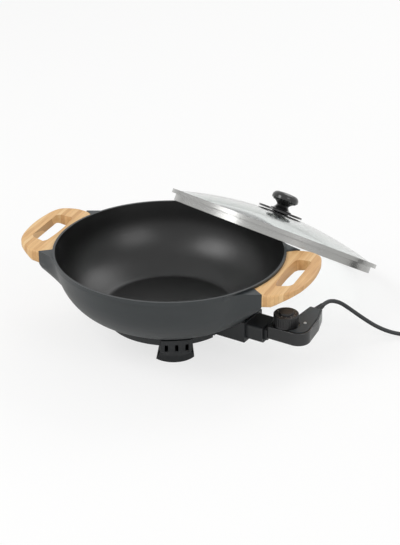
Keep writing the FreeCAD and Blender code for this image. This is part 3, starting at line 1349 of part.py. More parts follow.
def make_blades():
    long, wide, thick = number("blade_long"), number("blade_wide"), number("blade_thick")
    blades = []
    for side in (-1, 1):
        centre = side * number("blade_pitch") / 2
        blade = Part.makeBox(long, thick, wide, Vector(number("plug_long"), centre - thick / 2, -wide / 2))
        blades.append(in_coil_frame(blade, coil_end))
    return blades


add_solids("plug_body", [make_plug()])
add_solids("plug_pins", make_blades())


# Export: every object is checked, then each piece is written under its name

doc.recompute()
for thing in doc.Objects:
    if "Invalid" in thing.State or "Error" in thing.State:
        raise RuntimeError("%s is %s" % (thing.Label, thing.State))
os.makedirs("parts", exist_ok=True)
for label, part in PARTS.items():
    if part.Shape.isNull() or not part.Shape.isValid():
        raise RuntimeError("%s has no valid shape" % label)
    part.Label = label
for label, part in PARTS.items():
    part.Shape.exportStep("parts/%s.step" % label)
print("%d parts" % len(PARTS))
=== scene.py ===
import math
import bpy
from mathutils import Matrix, Vector


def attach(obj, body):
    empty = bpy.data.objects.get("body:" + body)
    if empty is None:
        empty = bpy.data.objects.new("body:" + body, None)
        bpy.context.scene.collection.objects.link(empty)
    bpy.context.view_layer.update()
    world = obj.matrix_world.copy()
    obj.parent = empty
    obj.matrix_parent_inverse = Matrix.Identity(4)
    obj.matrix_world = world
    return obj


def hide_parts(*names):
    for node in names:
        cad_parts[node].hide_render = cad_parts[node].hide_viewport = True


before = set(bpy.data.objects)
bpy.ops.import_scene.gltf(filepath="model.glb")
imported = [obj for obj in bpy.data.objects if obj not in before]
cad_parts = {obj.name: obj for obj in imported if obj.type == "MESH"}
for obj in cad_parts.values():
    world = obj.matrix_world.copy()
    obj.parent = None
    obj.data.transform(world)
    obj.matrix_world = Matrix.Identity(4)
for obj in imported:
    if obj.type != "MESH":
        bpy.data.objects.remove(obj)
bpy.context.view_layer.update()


# Pan: aluminium cast in one piece with its four lugs. Outside it has a satin dark grey ceramic
# paint, and inside a black non-stick coat that is sprayed on and baked. The other parts of the
# wok are screwed to this casting.
COATED_RADIUS = 0.1771
COATED_FLOOR = 0.047
FACES_UP = 0.02
PAINT_GREY = "#24282a"
PAINT_DUST = "#2d3234"
COAT_BLACK = "#0d0d0d"
COAT_FLECK = "#191919"
PEEL_PITCH = 0.0015
FLECK_PITCH = 0.0011
FLECK_SHARE = 0.16
RING_PITCH = 0.0036
# The bowl's outer wall is an arc and, above its turn, a cone.
ARC_RADIUS = 0.090
ARC_OUT = 0.08588
ARC_UP = 0.14014
CONE_START = 0.1242
CONE_RADIUS = 0.17446
CONE_DRAFT = math.tan(math.radians(10.2))
LUG_BELOW = 0.070
LUG_ROOT = 0.074
LUG_LOW = 0.122
LUG_TOP = 0.1475
LUG_HOLLOW = 1.5
LUG_THICK = 0.0004
LUG_SPAN = (math.radians(18), math.radians(40))
LUG_THINS = (math.radians(23), math.radians(37))
LUG_CUTS = 3
MERGE = 0.000002
SOFT_EDGE = math.radians(32)


def linear(code):
    """One sRGB hex colour as linear light."""
    parts = [int(code[place:place + 2], 16) / 255 for place in (1, 3, 5)]
    return [part / 12.92 if part <= 0.04045 else ((part + 0.055) / 1.055) ** 2.4
            for part in parts] + [1]


def add(material, kind, inputs={}, **options):
    """Adds a node with its options; an input is a value or the socket that it is linked to."""
    made = material.node_tree.nodes.new(kind)
    for name, value in options.items():
        setattr(made, name, value)
    for name, value in inputs.items():
        if isinstance(value, bpy.types.NodeSocket):
            material.node_tree.links.new(value, made.inputs[name])
        else:
            made.inputs[name].default_value = value
    return made


def begin(name, finish):
    """A material with its surface shader set; the finish names the shader's sockets."""
    material = bpy.data.materials.new(name)
    material.use_nodes = True
    surface = material.node_tree.nodes["Principled BSDF"]
    for socket, value in finish.items():
        surface.inputs[socket].default_value = value
    return material, surface


def link(material, output, shader, socket):
    """Joins a node's output to a socket of the surface shader."""
    material.node_tree.links.new(output, shader.inputs[socket])


def pick(piece):
    """Selects one piece alone and makes it the active one."""
    bpy.ops.object.select_all(action="DESELECT")
    piece.select_set(True)
    bpy.context.view_layer.objects.active = piece


def ease(value, low, high):
    """Goes smoothly from 0 at low to 1 at high."""
    share = min(max((value - low) / (high - low), 0), 1)
    return share * share * (3 - 2 * share)


def recast(node, name, material, body, moved, cuts=0, wanted=None):
    """A copy of a CAD node as one closed mesh, its wanted faces divided and its points moved."""
    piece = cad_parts[node].copy()
    piece.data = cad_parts[node].data.copy()
    piece.parent = None
    piece.name = name
    piece.data.name = name
    for key in [key for key in piece.keys() if key.startswith("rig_")]:
        del piece[key]
    bpy.context.scene.collection.objects.link(piece)
    pick(piece)
    bpy.ops.object.mode_set(mode="EDIT")
    bpy.ops.mesh.select_all(action="SELECT")
    if piece.data.has_custom_normals:
        bpy.ops.mesh.customdata_custom_splitnormals_clear()
    bpy.ops.mesh.remove_doubles(threshold=MERGE)
    bpy.ops.mesh.select_all(action="DESELECT")
    bpy.ops.object.mode_set(mode="OBJECT")
    if cuts:
        for face in piece.data.polygons:
            face.select = wanted(face.center)
        bpy.ops.object.mode_set(mode="EDIT")
        bpy.ops.mesh.select_mode(type="FACE")
        bpy.ops.mesh.subdivide(number_cuts=cuts)
        bpy.ops.object.mode_set(mode="OBJECT")
    for point in piece.data.vertices:
        point.co = moved(point.co)
    pick(piece)
    bpy.ops.object.shade_smooth_by_angle(angle=SOFT_EDGE)
    piece.data.materials.clear()
    piece.data.materials.append(material)
    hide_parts(node)
    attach(piece, body)


def wall_radius(height):
    """Outside radius of the bowl at a height above the table."""
    if height > CONE_START:
        return CONE_RADIUS + CONE_DRAFT * (height - CONE_START)
    drop = min(abs(height - ARC_UP), ARC_RADIUS)
    return ARC_OUT + math.sqrt(ARC_RADIUS ** 2 - drop ** 2)


def on_lug(spot):
    """Whether a place is on the outside of a lug."""
    turn = math.atan2(abs(spot.y), abs(spot.x))
    reach = math.hypot(spot.x, spot.y)
    return (LUG_BELOW < spot.z < LUG_TOP and LUG_SPAN[0] < turn < LUG_SPAN[1]
            and reach > wall_radius(spot.z) + LUG_THICK)


def slim_lug(spot):
    """The lug runs out into the bowl in a hollow curve below and in a thin end beside."""
    if not on_lug(spot):
        return spot
    reach = math.hypot(spot.x, spot.y)
    wall = wall_radius(spot.z)
    turn = math.atan2(abs(spot.y), abs(spot.x))
    rise = min(max((spot.z - LUG_ROOT) / (LUG_LOW - LUG_ROOT), 0), 1)
    side = 1 - ease(turn, *LUG_THINS)
    scale = (wall + (reach - wall) * rise ** LUG_HOLLOW * side) / reach
    return Vector((spot.x * scale, spot.y * scale, spot.z))


# The paint is ceramic, sprayed on a blasted casting: its orange peel of 1.5 mm makes the sheen
# soft. The coat is PTFE with flecks of 0.35 mm, over turned rings that are drawn 3.6 mm apart.
casting, surface = begin("painted_cast_aluminium", {"Specular IOR Level": 0.5})
coords = add(casting, "ShaderNodeTexCoord")
place = add(casting, "ShaderNodeSeparateXYZ", {"Vector": coords.outputs["Object"]})
facing = add(casting, "ShaderNodeSeparateXYZ", {"Vector": coords.outputs["Normal"]})
level = add(casting, "ShaderNodeVectorMath", {0: coords.outputs["Object"], 1: (1, 1, 0)},
            operation="MULTIPLY")
radius = add(casting, "ShaderNodeVectorMath", {0: level.outputs[0]}, operation="LENGTH")
within = add(casting, "ShaderNodeMath", {0: radius.outputs["Value"], 1: COATED_RADIUS},
             operation="LESS_THAN")
upward = add(casting, "ShaderNodeMath", {0: facing.outputs["Z"], 1: FACES_UP},
             operation="GREATER_THAN")
above = add(casting, "ShaderNodeMath", {0: place.outputs["Z"], 1: COATED_FLOOR},
            operation="GREATER_THAN")
bowl = add(casting, "ShaderNodeMath", {0: within.outputs[0], 1: upward.outputs[0]},
           operation="MULTIPLY")
inside = add(casting, "ShaderNodeMath", {0: bowl.outputs[0], 1: above.outputs[0]},
             operation="MULTIPLY")
mottle = add(casting, "ShaderNodeTexNoise",
             {"Vector": coords.outputs["Object"], "Scale": 26.0, "Detail": 4.0})
paint = add(casting, "ShaderNodeMix", {0: mottle.outputs["Fac"], 6: linear(PAINT_GREY),
                                       7: linear(PAINT_DUST)}, data_type="RGBA")
flecks = add(casting, "ShaderNodeTexVoronoi",
             {"Vector": coords.outputs["Object"], "Scale": 1 / FLECK_PITCH, "Randomness": 1.0})
fleck = add(casting, "ShaderNodeMath", {0: flecks.outputs["Distance"], 1: FLECK_SHARE},
            operation="LESS_THAN")
coat = add(casting, "ShaderNodeMix", {0: fleck.outputs[0], 6: linear(COAT_BLACK),
                                      7: linear(COAT_FLECK)}, data_type="RGBA")
colour = add(casting, "ShaderNodeMix", {0: inside.outputs[0], 6: paint.outputs[2],
                                        7: coat.outputs[2]}, data_type="RGBA")
link(casting, colour.outputs[2], surface, "Base Color")
smooth = add(casting, "ShaderNodeMix", {0: inside.outputs[0], 2: 0.36, 3: 0.30})
worn = add(casting, "ShaderNodeMath", {0: mottle.outputs["Fac"], 1: 0.10, 2: smooth.outputs[0]},
           operation="MULTIPLY_ADD")
link(casting, worn.outputs[0], surface, "Roughness")
peel = add(casting, "ShaderNodeTexNoise",
           {"Vector": coords.outputs["Object"], "Scale": 1 / PEEL_PITCH, "Detail": 2.0})
rings = add(casting, "ShaderNodeTexWave",
            {"Vector": coords.outputs["Object"], "Scale": math.tau / 20 / RING_PITCH,
             "Distortion": 0.0}, wave_type="RINGS", rings_direction="Z", wave_profile="SIN")
turned = add(casting, "ShaderNodeMath", {0: rings.outputs["Fac"], 1: inside.outputs[0]},
             operation="MULTIPLY")
grain = add(casting, "ShaderNodeMath", {0: turned.outputs[0], 1: 0.35, 2: peel.outputs["Fac"]},
            operation="MULTIPLY_ADD")
relief = add(casting, "ShaderNodeBump", {"Height": grain.outputs[0], "Strength": 0.10,
                                         "Distance": 0.0003})
link(casting, relief.outputs[0], surface, "Normal")
recast("pan", "pan_casting", casting, "wok", slim_lug, LUG_CUTS, on_lug)


# Handles: two D shaped pieces of laminated bamboo, milled and thinly lacquered, each fixed
# between two lugs by screws from below. The strips stand upright, 5.7 mm thick, along the grip.
STRIP = 0.0057
GLUE_LINE = 0.00016
SWAY = 0.0022
FIBRE = (0.0009, 0.030, 0.0009)
FIGURE = (0.006, 0.055, 0.006)
WOOD_DARK = "#b07d48"
WOOD_MIDDLE = "#d6ab74"
WOOD_LIGHT = "#e8cb9a"
GLUE_BROWN = "#8a5a2c"
GRIP_TOP = 0.146
GRIP_LOW = 0.122
GRIP_START = 0.182
GRIP_FULL = 0.232
GRIP_TIP = 0.241
TIP_UP = 0.005
TIP_HOLLOW = 0.018
TIP_BACK = 0.005
RIM_HOLLOW = 0.45
RIM_HOLLOW_END = 0.074
SLOT_INNER = 0.1915
SLOT_OUTER = 0.219
SLOT_END = 0.046
SLOT_WIDER = 0.003
SLOT_BEFORE = 0.002
SLOT_BEHIND = 0.004


def carve(spot):
    """The grip rises outwards and gets thin there, and the strip at the rim is thinned too."""
    out = ease(abs(spot.x), GRIP_START, GRIP_FULL)
    back = TIP_BACK * ease(abs(spot.x), SLOT_OUTER, GRIP_TIP)
    if (SLOT_INNER - SLOT_BEFORE < abs(spot.x) < SLOT_INNER + SLOT_BEHIND
            and abs(spot.y) < SLOT_END):
        back = SLOT_WIDER
    strip = RIM_HOLLOW * (1 - ease(abs(spot.y), SLOT_END, RIM_HOLLOW_END))
    low = (GRIP_TOP - spot.z) / (GRIP_TOP - GRIP_LOW)
    lift = TIP_UP * out + low * (TIP_HOLLOW - TIP_UP) * max(out, strip)
    return Vector((spot.x - math.copysign(back, spot.x), spot.y, spot.z + lift))


# Each strip has its own tone, with long fibres 0.9 mm apart and a thin brown glue line beside it.
wood, surface = begin("laminated_bamboo", {"Coat Weight": 0.12, "Coat Roughness": 0.35})
coords = add(wood, "ShaderNodeTexCoord")
place = add(wood, "ShaderNodeSeparateXYZ", {"Vector": coords.outputs["Object"]})
drift = add(wood, "ShaderNodeTexNoise",
            {"Vector": coords.outputs["Object"], "Scale": 9.0, "Detail": 1.0})
swayed = add(wood, "ShaderNodeMath", {0: drift.outputs["Fac"], 1: SWAY, 2: place.outputs["X"]},
             operation="MULTIPLY_ADD")
ply = add(wood, "ShaderNodeMath", {0: swayed.outputs[0], 1: STRIP}, operation="DIVIDE")
number = add(wood, "ShaderNodeMath", {0: ply.outputs[0]}, operation="FLOOR")
tone = add(wood, "ShaderNodeTexWhiteNoise", {"W": number.outputs[0]}, noise_dimensions="1D")
fibres = add(wood, "ShaderNodeMapping", {"Vector": coords.outputs["Object"],
                                         "Scale": [1 / size for size in FIBRE]})
grain = add(wood, "ShaderNodeTexNoise", {"Vector": fibres.outputs[0], "Scale": 1.0, "Detail": 5.0,
                                         "Roughness": 0.6})
figure = add(wood, "ShaderNodeMapping", {"Vector": coords.outputs["Object"],
                                         "Scale": [1 / size for size in FIGURE]})
cloud = add(wood, "ShaderNodeTexNoise", {"Vector": figure.outputs[0], "Scale": 1.0, "Detail": 2.0})
mixed = add(wood, "ShaderNodeMix", {0: 0.42, 2: grain.outputs["Fac"], 3: tone.outputs["Value"]})
blended = add(wood, "ShaderNodeMix", {0: 0.30, 2: mixed.outputs[0], 3: cloud.outputs["Fac"]})
shade = add(wood, "ShaderNodeValToRGB", {"Fac": blended.outputs[0]})
shade.color_ramp.elements[0].position = 0.22
shade.color_ramp.elements[0].color = linear(WOOD_DARK)
shade.color_ramp.elements[1].position = 0.80
shade.color_ramp.elements[1].color = linear(WOOD_LIGHT)
shade.color_ramp.elements.new(0.5).color = linear(WOOD_MIDDLE)
joint = add(wood, "ShaderNodeMath", {0: swayed.outputs[0], 1: STRIP / 2}, operation="PINGPONG")
glued = add(wood, "ShaderNodeMath", {0: joint.outputs[0], 1: GLUE_LINE}, operation="LESS_THAN")
seam = add(wood, "ShaderNodeMath", {0: glued.outputs[0], 1: 0.45}, operation="MULTIPLY")
colour = add(wood, "ShaderNodeMix", {0: seam.outputs[0], 6: shade.outputs["Color"],
                                     7: linear(GLUE_BROWN)}, data_type="RGBA")
link(wood, colour.outputs[2], surface, "Base Color")
sanded = add(wood, "ShaderNodeMapRange", {"Value": grain.outputs["Fac"], "To Min": 0.42,
                                          "To Max": 0.60})
link(wood, sanded.outputs[0], surface, "Roughness")
pores = add(wood, "ShaderNodeBump", {"Height": grain.outputs["Fac"], "Strength": 0.18,
                                     "Distance": 0.0003})
link(wood, pores.outputs[0], surface, "Normal")
for side in ("right", "left"):
    recast("handle_" + side, "handle_wood_" + side, wood, "wok", carve)


# Screws, spindle and bracket: zinc plated steel, pressed or turned and then tumbled, so that they
# shine unevenly. They hold the handles, the feet, the base ring, the shroud, the heat shield, the
# knob and the control.
ZINC = "#b9bdc2"


def dress(material, *names):
    """Gives CAD nodes their material."""
    for name in names:
        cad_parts[name].material_slots[0].material = material


zinc, surface = begin("zinc_plated_steel", {"Base Color": linear(ZINC), "Metallic": 1.0})
coords = add(zinc, "ShaderNodeTexCoord")
cloud = add(zinc, "ShaderNodeTexNoise", {"Vector": coords.outputs["Object"], "Scale": 900.0,
                                         "Detail": 3.0})
tumbled = add(zinc, "ShaderNodeMapRange", {"Value": cloud.outputs["Fac"], "To Min": 0.26,
                                           "To Max": 0.46})
link(zinc, tumbled.outputs[0], surface, "Roughness")
dress(zinc, "handle_screws", "foot_screws", "base_screws", "shield_screw", "shroud_screws",
      "control_screws", "knob_screw", "dial_spindle", "switch_frame")


# Heating tube and heat shield: a steel sheath round the resistance wire, pressed between the ribs
# under the pan, and below it a pressed sheet of galvanised steel. Nickel plated pins stand in
# steatite beads at the tube's ends, and a steatite plate carries the wires.
SHEATH_DARK = "#4b4540"
SHEATH_LIGHT = "#6f665c"
SPANGLE = 0.006
SPANGLE_DARK = "#8d9196"
SPANGLE_LIGHT = "#b2b6ba"
NICKEL = "#c9c5bb"
STEATITE_DARK = "#d6d1c2"
STEATITE_LIGHT = "#e7e3d8"

# The sheath has gone a brownish, clouded grey in its first heat.
sheath, surface = begin("oxidised_steel_sheath", {"Metallic": 1.0, "Roughness": 0.48})
coords = add(sheath, "ShaderNodeTexCoord")
bloom = add(sheath, "ShaderNodeTexNoise", {"Vector": coords.outputs["Object"], "Scale": 70.0,
                                           "Detail": 5.0})
tint = add(sheath, "ShaderNodeMix", {0: bloom.outputs["Fac"], 6: linear(SHEATH_DARK),
                                     7: linear(SHEATH_LIGHT)}, data_type="RGBA")
link(sheath, tint.outputs[2], surface, "Base Color")
dress(sheath, "heating_element")

# Hot dipping leaves spangles of 6 mm in two greys.
galvanised, surface = begin("galvanised_sheet", {"Metallic": 1.0})
coords = add(galvanised, "ShaderNodeTexCoord")
spangle = add(galvanised, "ShaderNodeTexVoronoi", {"Vector": coords.outputs["Object"],
                                                   "Scale": 1 / SPANGLE})
tint = add(galvanised, "ShaderNodeMix", {0: spangle.outputs["Color"], 6: linear(SPANGLE_DARK),
                                         7: linear(SPANGLE_LIGHT)}, data_type="RGBA")
link(galvanised, tint.outputs[2], surface, "Base Color")
dull = add(galvanised, "ShaderNodeMapRange", {"Value": spangle.outputs["Distance"],
                                              "To Min": 0.34, "To Max": 0.52})
link(galvanised, dull.outputs[0], surface, "Roughness")
dress(galvanised, "heat_shield")

# Turned pins under a warm and bright plating.
nickel, surface = begin("nickel_plated_steel", {"Base Color": linear(NICKEL), "Metallic": 1.0})
coords = add(nickel, "ShaderNodeTexCoord")
drawn = add(nickel, "ShaderNodeTexNoise", {"Vector": coords.outputs["Object"], "Scale": 1500.0})
polish = add(nickel, "ShaderNodeMapRange", {"Value": drawn.outputs["Fac"], "To Min": 0.14,
                                            "To Max": 0.28})
link(nickel, polish.outputs[0], surface, "Roughness")
dress(nickel, "element_pins", "contact_sleeves", "probe", "plug_pins")

# A dry pressed and fired ceramic, matt and off white.
steatite, surface = begin("steatite_ceramic", {"Roughness": 0.62})
coords = add(steatite, "ShaderNodeTexCoord")
body = add(steatite, "ShaderNodeTexNoise", {"Vector": coords.outputs["Object"], "Scale": 800.0})
tint = add(steatite, "ShaderNodeMix", {0: body.outputs["Fac"], 6: linear(STEATITE_DARK),
                                       7: linear(STEATITE_LIGHT)}, data_type="RGBA")
link(steatite, tint.outputs[2], surface, "Base Color")
dress(steatite, "pin_insulators", "terminal_plate")


# Base ring, feet, shroud, collar and plug-in block: black phenolic, compression moulded in tools
# with an eroded grain of about 0.6 mm, so that the faces are satin and the broad ones look dark
# grey. The feet are screwed into the ring, and the ring to the pan.
PHENOLIC_DARK = "#1b1d1f"
PHENOLIC_LIGHT = "#26292b"
ERODED = 0.0006
FOOT_BOW = 0.033
FOOT_FLAT = 0.8
FOOT_EDGE = 0.9
FOOT_SLANT = 0.14
FOOT_FRONT = (0.080, 0.090)
FOOT_RISE = (0.012, 0.034)
FOOT_LEVELS = ((0, 0), (0.012, 0.012), (0.033, 0.024), (0.0405, 0.0355), (0.045, 0.045))
FEET = {"foot_front": math.radians(-60), "foot_rear": math.radians(60),
        "foot_left": math.radians(180)}

phenolic, surface = begin("moulded_phenolic", {"Specular IOR Level": 0.5})
coords = add(phenolic, "ShaderNodeTexCoord")
cloud = add(phenolic, "ShaderNodeTexNoise", {"Vector": coords.outputs["Object"], "Scale": 40.0,
                                             "Detail": 3.0})
tint = add(phenolic, "ShaderNodeMix", {0: cloud.outputs["Fac"], 6: linear(PHENOLIC_DARK),
                                       7: linear(PHENOLIC_LIGHT)}, data_type="RGBA")
link(phenolic, tint.outputs[2], surface, "Base Color")
eroded = add(phenolic, "ShaderNodeTexNoise", {"Vector": coords.outputs["Object"],
                                              "Scale": 1 / ERODED, "Detail": 2.0})
satin = add(phenolic, "ShaderNodeMapRange", {"Value": eroded.outputs["Fac"], "To Min": 0.32,
                                             "To Max": 0.46})
link(phenolic, satin.outputs[0], surface, "Roughness")
relief = add(phenolic, "ShaderNodeBump", {"Height": eroded.outputs["Fac"], "Strength": 0.16,
                                          "Distance": 0.0002})
link(phenolic, relief.outputs[0], surface, "Normal")
dress(phenolic, "base_ring", "socket_shroud", "socket_collar", "contact_block")


def foot_mover(azimuth):
    """The front of a foot is flatter at its top, so that all its vents stand before the ring."""
    way = Vector((math.cos(azimuth), math.sin(azimuth), 0))
    across = Vector((-way.y, way.x, 0))

    def moved(spot):
        aside = min(abs(spot.dot(across)), FOOT_BOW * FOOT_EDGE)
        drop = FOOT_BOW - math.sqrt(FOOT_BOW ** 2 - aside ** 2)
        front = ease(spot.dot(way), *FOOT_FRONT)
        push = FOOT_FLAT * drop * ease(spot.z, *FOOT_RISE) * front
        for (low, new_low), (high, new_high) in zip(FOOT_LEVELS, FOOT_LEVELS[1:]):
            if low <= spot.z <= high:
                level = new_low + (spot.z - low) * (new_high - new_low) / (high - low)
                sink = (spot.z - level) * front
                return spot + way * (push + FOOT_SLANT * sink) - Vector((0, 0, sink))
        return spot + way * push
    return moved


for name, azimuth in FEET.items():
    recast(name, name + "_moulding", phenolic, "wok", foot_mover(azimuth))


# Lid glass: a pressed and toughened soda lime dome, 4 mm thick, faintly green in its edge. Light
# goes on through it, so its shadow is only a little darker than the table.
GLASS_TINT = "#f3f7f5"
GLASS_SHADOW = "#e6ebe9"

glass, surface = begin("toughened_glass", {"Base Color": linear(GLASS_TINT), "Roughness": 0.0,
                                           "IOR": 1.5, "Transmission Weight": 1.0})
coords = add(glass, "ShaderNodeTexCoord")
ream = add(glass, "ShaderNodeTexNoise", {"Vector": coords.outputs["Object"], "Scale": 14.0})
waviness = add(glass, "ShaderNodeBump", {"Height": ream.outputs["Fac"], "Strength": 0.02,
                                         "Distance": 0.001})
link(glass, waviness.outputs[0], surface, "Normal")
clear = add(glass, "ShaderNodeBsdfTransparent", {"Color": linear(GLASS_SHADOW)})
ray = add(glass, "ShaderNodeLightPath")
passing = add(glass, "ShaderNodeMixShader", {0: ray.outputs["Is Shadow Ray"],
                                             1: surface.outputs[0], 2: clear.outputs[0]})
link(glass, passing.outputs[0], glass.node_tree.nodes["Material Output"], "Surface")
dress(glass, "lid_glass")


# Lid band: a strip of stainless steel 0.8 mm thick, rolled round the glass edge, with the skirt
# that drops into the pan. Brushing along the ring draws its highlights out into long soft ones.
STEEL = "#a2a2a0"
BRUSHING = (60.0, 60.0, 2600.0)

stainless, surface = begin("brushed_stainless_steel", {"Base Color": linear(STEEL),
                                                       "Metallic": 1.0})
coords = add(stainless, "ShaderNodeTexCoord")
lines = add(stainless, "ShaderNodeMapping", {"Vector": coords.outputs["Object"],
                                             "Scale": BRUSHING})
brushing = add(stainless, "ShaderNodeTexNoise", {"Vector": lines.outputs[0], "Scale": 1.0,
                                                 "Detail": 3.0})
polish = add(stainless, "ShaderNodeMapRange", {"Value": brushing.outputs["Fac"], "To Min": 0.16,
                                               "To Max": 0.34})
link(stainless, polish.outputs[0], surface, "Roughness")
relief = add(stainless, "ShaderNodeBump", {"Height": brushing.outputs["Fac"], "Strength": 0.05,
                                           "Distance": 0.0002})
link(stainless, relief.outputs[0], surface, "Normal")
dress(stainless, "lid_band", "knob_washer")


# Lid seal and gasket: matt black silicone, moulded as a ring that the band clamps on the glass.
# Its lip is a bead on the glass along the band's inner edge, and it leans as the lid does.
# The black bead is partly that lip and partly painted shade in the seam between glass and band.
SILICONE_DARK = "#141414"
SILICONE_LIGHT = "#1f1f20"
LIP_RADIUS = 0.1733
LIP_HALF = 0.0013
LIP_RISE = 1.85
LIP_SINK = 0.05
LIP_SEGMENTS = 240
LIP_SIDES = 16
LIP_SOFT_EDGE = math.radians(50)
GLASS_FLAT = 0.0045
LID_CENTRE = (0.08558, 0.22577, 0.0986)
LID_LEAN = math.radians(31.4)
LEAN_AZIMUTH = math.radians(70.6)

silicone, surface = begin("black_silicone", {"Roughness": 0.58})
coords = add(silicone, "ShaderNodeTexCoord")
bloom = add(silicone, "ShaderNodeTexNoise", {"Vector": coords.outputs["Object"], "Scale": 220.0})
tint = add(silicone, "ShaderNodeMix", {0: bloom.outputs["Fac"], 6: linear(SILICONE_DARK),
                                       7: linear(SILICONE_LIGHT)}, data_type="RGBA")
link(silicone, tint.outputs[2], surface, "Base Color")
dress(silicone, "lid_seal", "knob_gasket")

bpy.ops.object.select_all(action="DESELECT")
# Black bead: partly the seal's lip, partly painted shade along the band's inner edge.
bpy.ops.mesh.primitive_torus_add(major_radius=LIP_RADIUS, minor_radius=LIP_HALF,
                                 major_segments=LIP_SEGMENTS, minor_segments=LIP_SIDES)
lip = bpy.context.object
lip.name = lip.data.name = "seal_lip_and_shade"
lean_axis = Vector((-math.sin(LEAN_AZIMUTH), math.cos(LEAN_AZIMUTH), 0))
leaning = Matrix.Translation(LID_CENTRE) @ Matrix.Rotation(LID_LEAN, 4, lean_axis)
for point in lip.data.vertices:
    rise = point.co.z * (LIP_RISE if point.co.z > 0 else LIP_SINK)
    point.co = leaning @ Vector((point.co.x, point.co.y, GLASS_FLAT + rise))
bpy.ops.object.shade_smooth_by_angle(angle=LIP_SOFT_EDGE)
lip.data.materials.append(silicone)
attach(lip, "lid")


# Knob and its guard: glossy black phenolic from polished tools, screwed through the glass on a
# gasket. The slotted guard keeps the fingers off the hot glass.
GLOSS_DARK = "#0b0b0c"
GLOSS_LIGHT = "#131314"

gloss, surface = begin("polished_phenolic", {"Coat Weight": 0.3, "Coat Roughness": 0.05})
coords = add(gloss, "ShaderNodeTexCoord")
cloud = add(gloss, "ShaderNodeTexNoise", {"Vector": coords.outputs["Object"], "Scale": 120.0,
                                          "Detail": 3.0})
tint = add(gloss, "ShaderNodeMix", {0: cloud.outputs["Fac"], 6: linear(GLOSS_DARK),
                                    7: linear(GLOSS_LIGHT)}, data_type="RGBA")
link(gloss, tint.outputs[2], surface, "Base Color")
handled = add(gloss, "ShaderNodeMapRange", {"Value": cloud.outputs["Fac"], "To Min": 0.12,
                                            "To Max": 0.22})
link(gloss, handled.outputs[0], surface, "Roughness")
dress(gloss, "lid_knob", "knob_guard")


# Control housing: two halves of injection moulded ABS screwed together, with a seam between them,
# under a sunk plate. The pilot lamp is a lens pressed into the plate.
SHELL_DARK = "#141517"
SHELL_LIGHT = "#1d1f21"
PLATE_DARK = "#26292b"
PLATE_LIGHT = "#303436"
PLATE_GRAIN = 0.0005
# Near-white lens colours: partly the lens's milky look, partly a painted highlight.
LENS_MILKY_HIGHLIGHT_DIM = "#dfe3e2"
LENS_MILKY_HIGHLIGHT_BRIGHT = "#f6f8f7"
LENS_FACET = 0.0012

# Black ABS from a polished tool, with the faint clouds that hands leave in its gloss.
shell, surface = begin("glossy_abs", {"IOR": 1.54})
coords = add(shell, "ShaderNodeTexCoord")
cloud = add(shell, "ShaderNodeTexNoise", {"Vector": coords.outputs["Object"], "Scale": 90.0,
                                          "Detail": 3.0})
tint = add(shell, "ShaderNodeMix", {0: cloud.outputs["Fac"], 6: linear(SHELL_DARK),
                                    7: linear(SHELL_LIGHT)}, data_type="RGBA")
link(shell, tint.outputs[2], surface, "Base Color")
handled = add(shell, "ShaderNodeMapRange", {"Value": cloud.outputs["Fac"], "To Min": 0.14,
                                            "To Max": 0.26})
link(shell, handled.outputs[0], surface, "Roughness")
dress(shell, "control_base", "control_cover")

# Dark grey ABS with an eroded grain of 0.5 mm that takes its shine away.
plate, surface = begin("matt_abs", {"Roughness": 0.5})
coords = add(plate, "ShaderNodeTexCoord")
eroded = add(plate, "ShaderNodeTexNoise", {"Vector": coords.outputs["Object"],
                                           "Scale": 1 / PLATE_GRAIN, "Detail": 2.0})
tint = add(plate, "ShaderNodeMix", {0: eroded.outputs["Fac"], 6: linear(PLATE_DARK),
                                    7: linear(PLATE_LIGHT)}, data_type="RGBA")
link(plate, tint.outputs[2], surface, "Base Color")
relief = add(plate, "ShaderNodeBump", {"Height": eroded.outputs["Fac"], "Strength": 0.2,
                                       "Distance": 0.0002})
link(plate, relief.outputs[0], surface, "Normal")
dress(plate, "cover_plate")

# A clear lens with facets of 1.2 mm on its back, which make it look milky while it is unlit.
# Its near-white colour is partly that milky look and partly a painted highlight.
lens, surface = begin("clear_polycarbonate", {"Roughness": 0.08, "IOR": 1.58,
                                              "Transmission Weight": 0.35})
coords = add(lens, "ShaderNodeTexCoord")
facets = add(lens, "ShaderNodeTexVoronoi", {"Vector": coords.outputs["Object"],
                                            "Scale": 1 / LENS_FACET})
# Near-white mix over the facets: partly the milky lens, partly a painted highlight.
tint = add(lens, "ShaderNodeMix", {0: facets.outputs["Distance"], 6: linear(LENS_MILKY_HIGHLIGHT_DIM),
                                   7: linear(LENS_MILKY_HIGHLIGHT_BRIGHT)}, data_type="RGBA")
link(lens, tint.outputs[2], surface, "Base Color")
dress(lens, "pilot_lamp")


# Dial: a cap of black PA66 with a ribbed side and a raised grip. Its scale of plain numbers and
# ticks is hot stamped in pale grey on the ring round the grip and turns with it.
DIAL_X = 0.20438
DIAL_Y = -0.02953
RING_TOP = 0.0950
NUMBER_PLACE = 0.0143
NUMBER_HIGH = 0.0040
TICK_PLACE = 0.01755
TICK_LONG = 0.0011
STAMPED = 0.00004
NUMBERS = 10
STEP = math.radians(30)
FIRST = math.radians(-98.5)
CAP_DARK = "#121213"
CAP_LIGHT = "#1c1c1d"
FOIL_DARK = "#a39d96"
FOIL_LIGHT = "#c4beb6"

# Glass filled polyamide, satin from the tool and a little rubbed.
cap, surface = begin("black_polyamide", {"Specular IOR Level": 0.5})
coords = add(cap, "ShaderNodeTexCoord")
cloud = add(cap, "ShaderNodeTexNoise", {"Vector": coords.outputs["Object"], "Scale": 300.0,
                                        "Detail": 3.0})
tint = add(cap, "ShaderNodeMix", {0: cloud.outputs["Fac"], 6: linear(CAP_DARK),
                                  7: linear(CAP_LIGHT)}, data_type="RGBA")
link(cap, tint.outputs[2], surface, "Base Color")
handled = add(cap, "ShaderNodeMapRange", {"Value": cloud.outputs["Fac"], "To Min": 0.24,
                                          "To Max": 0.38})
link(cap, handled.outputs[0], surface, "Roughness")
dress(cap, "dial")

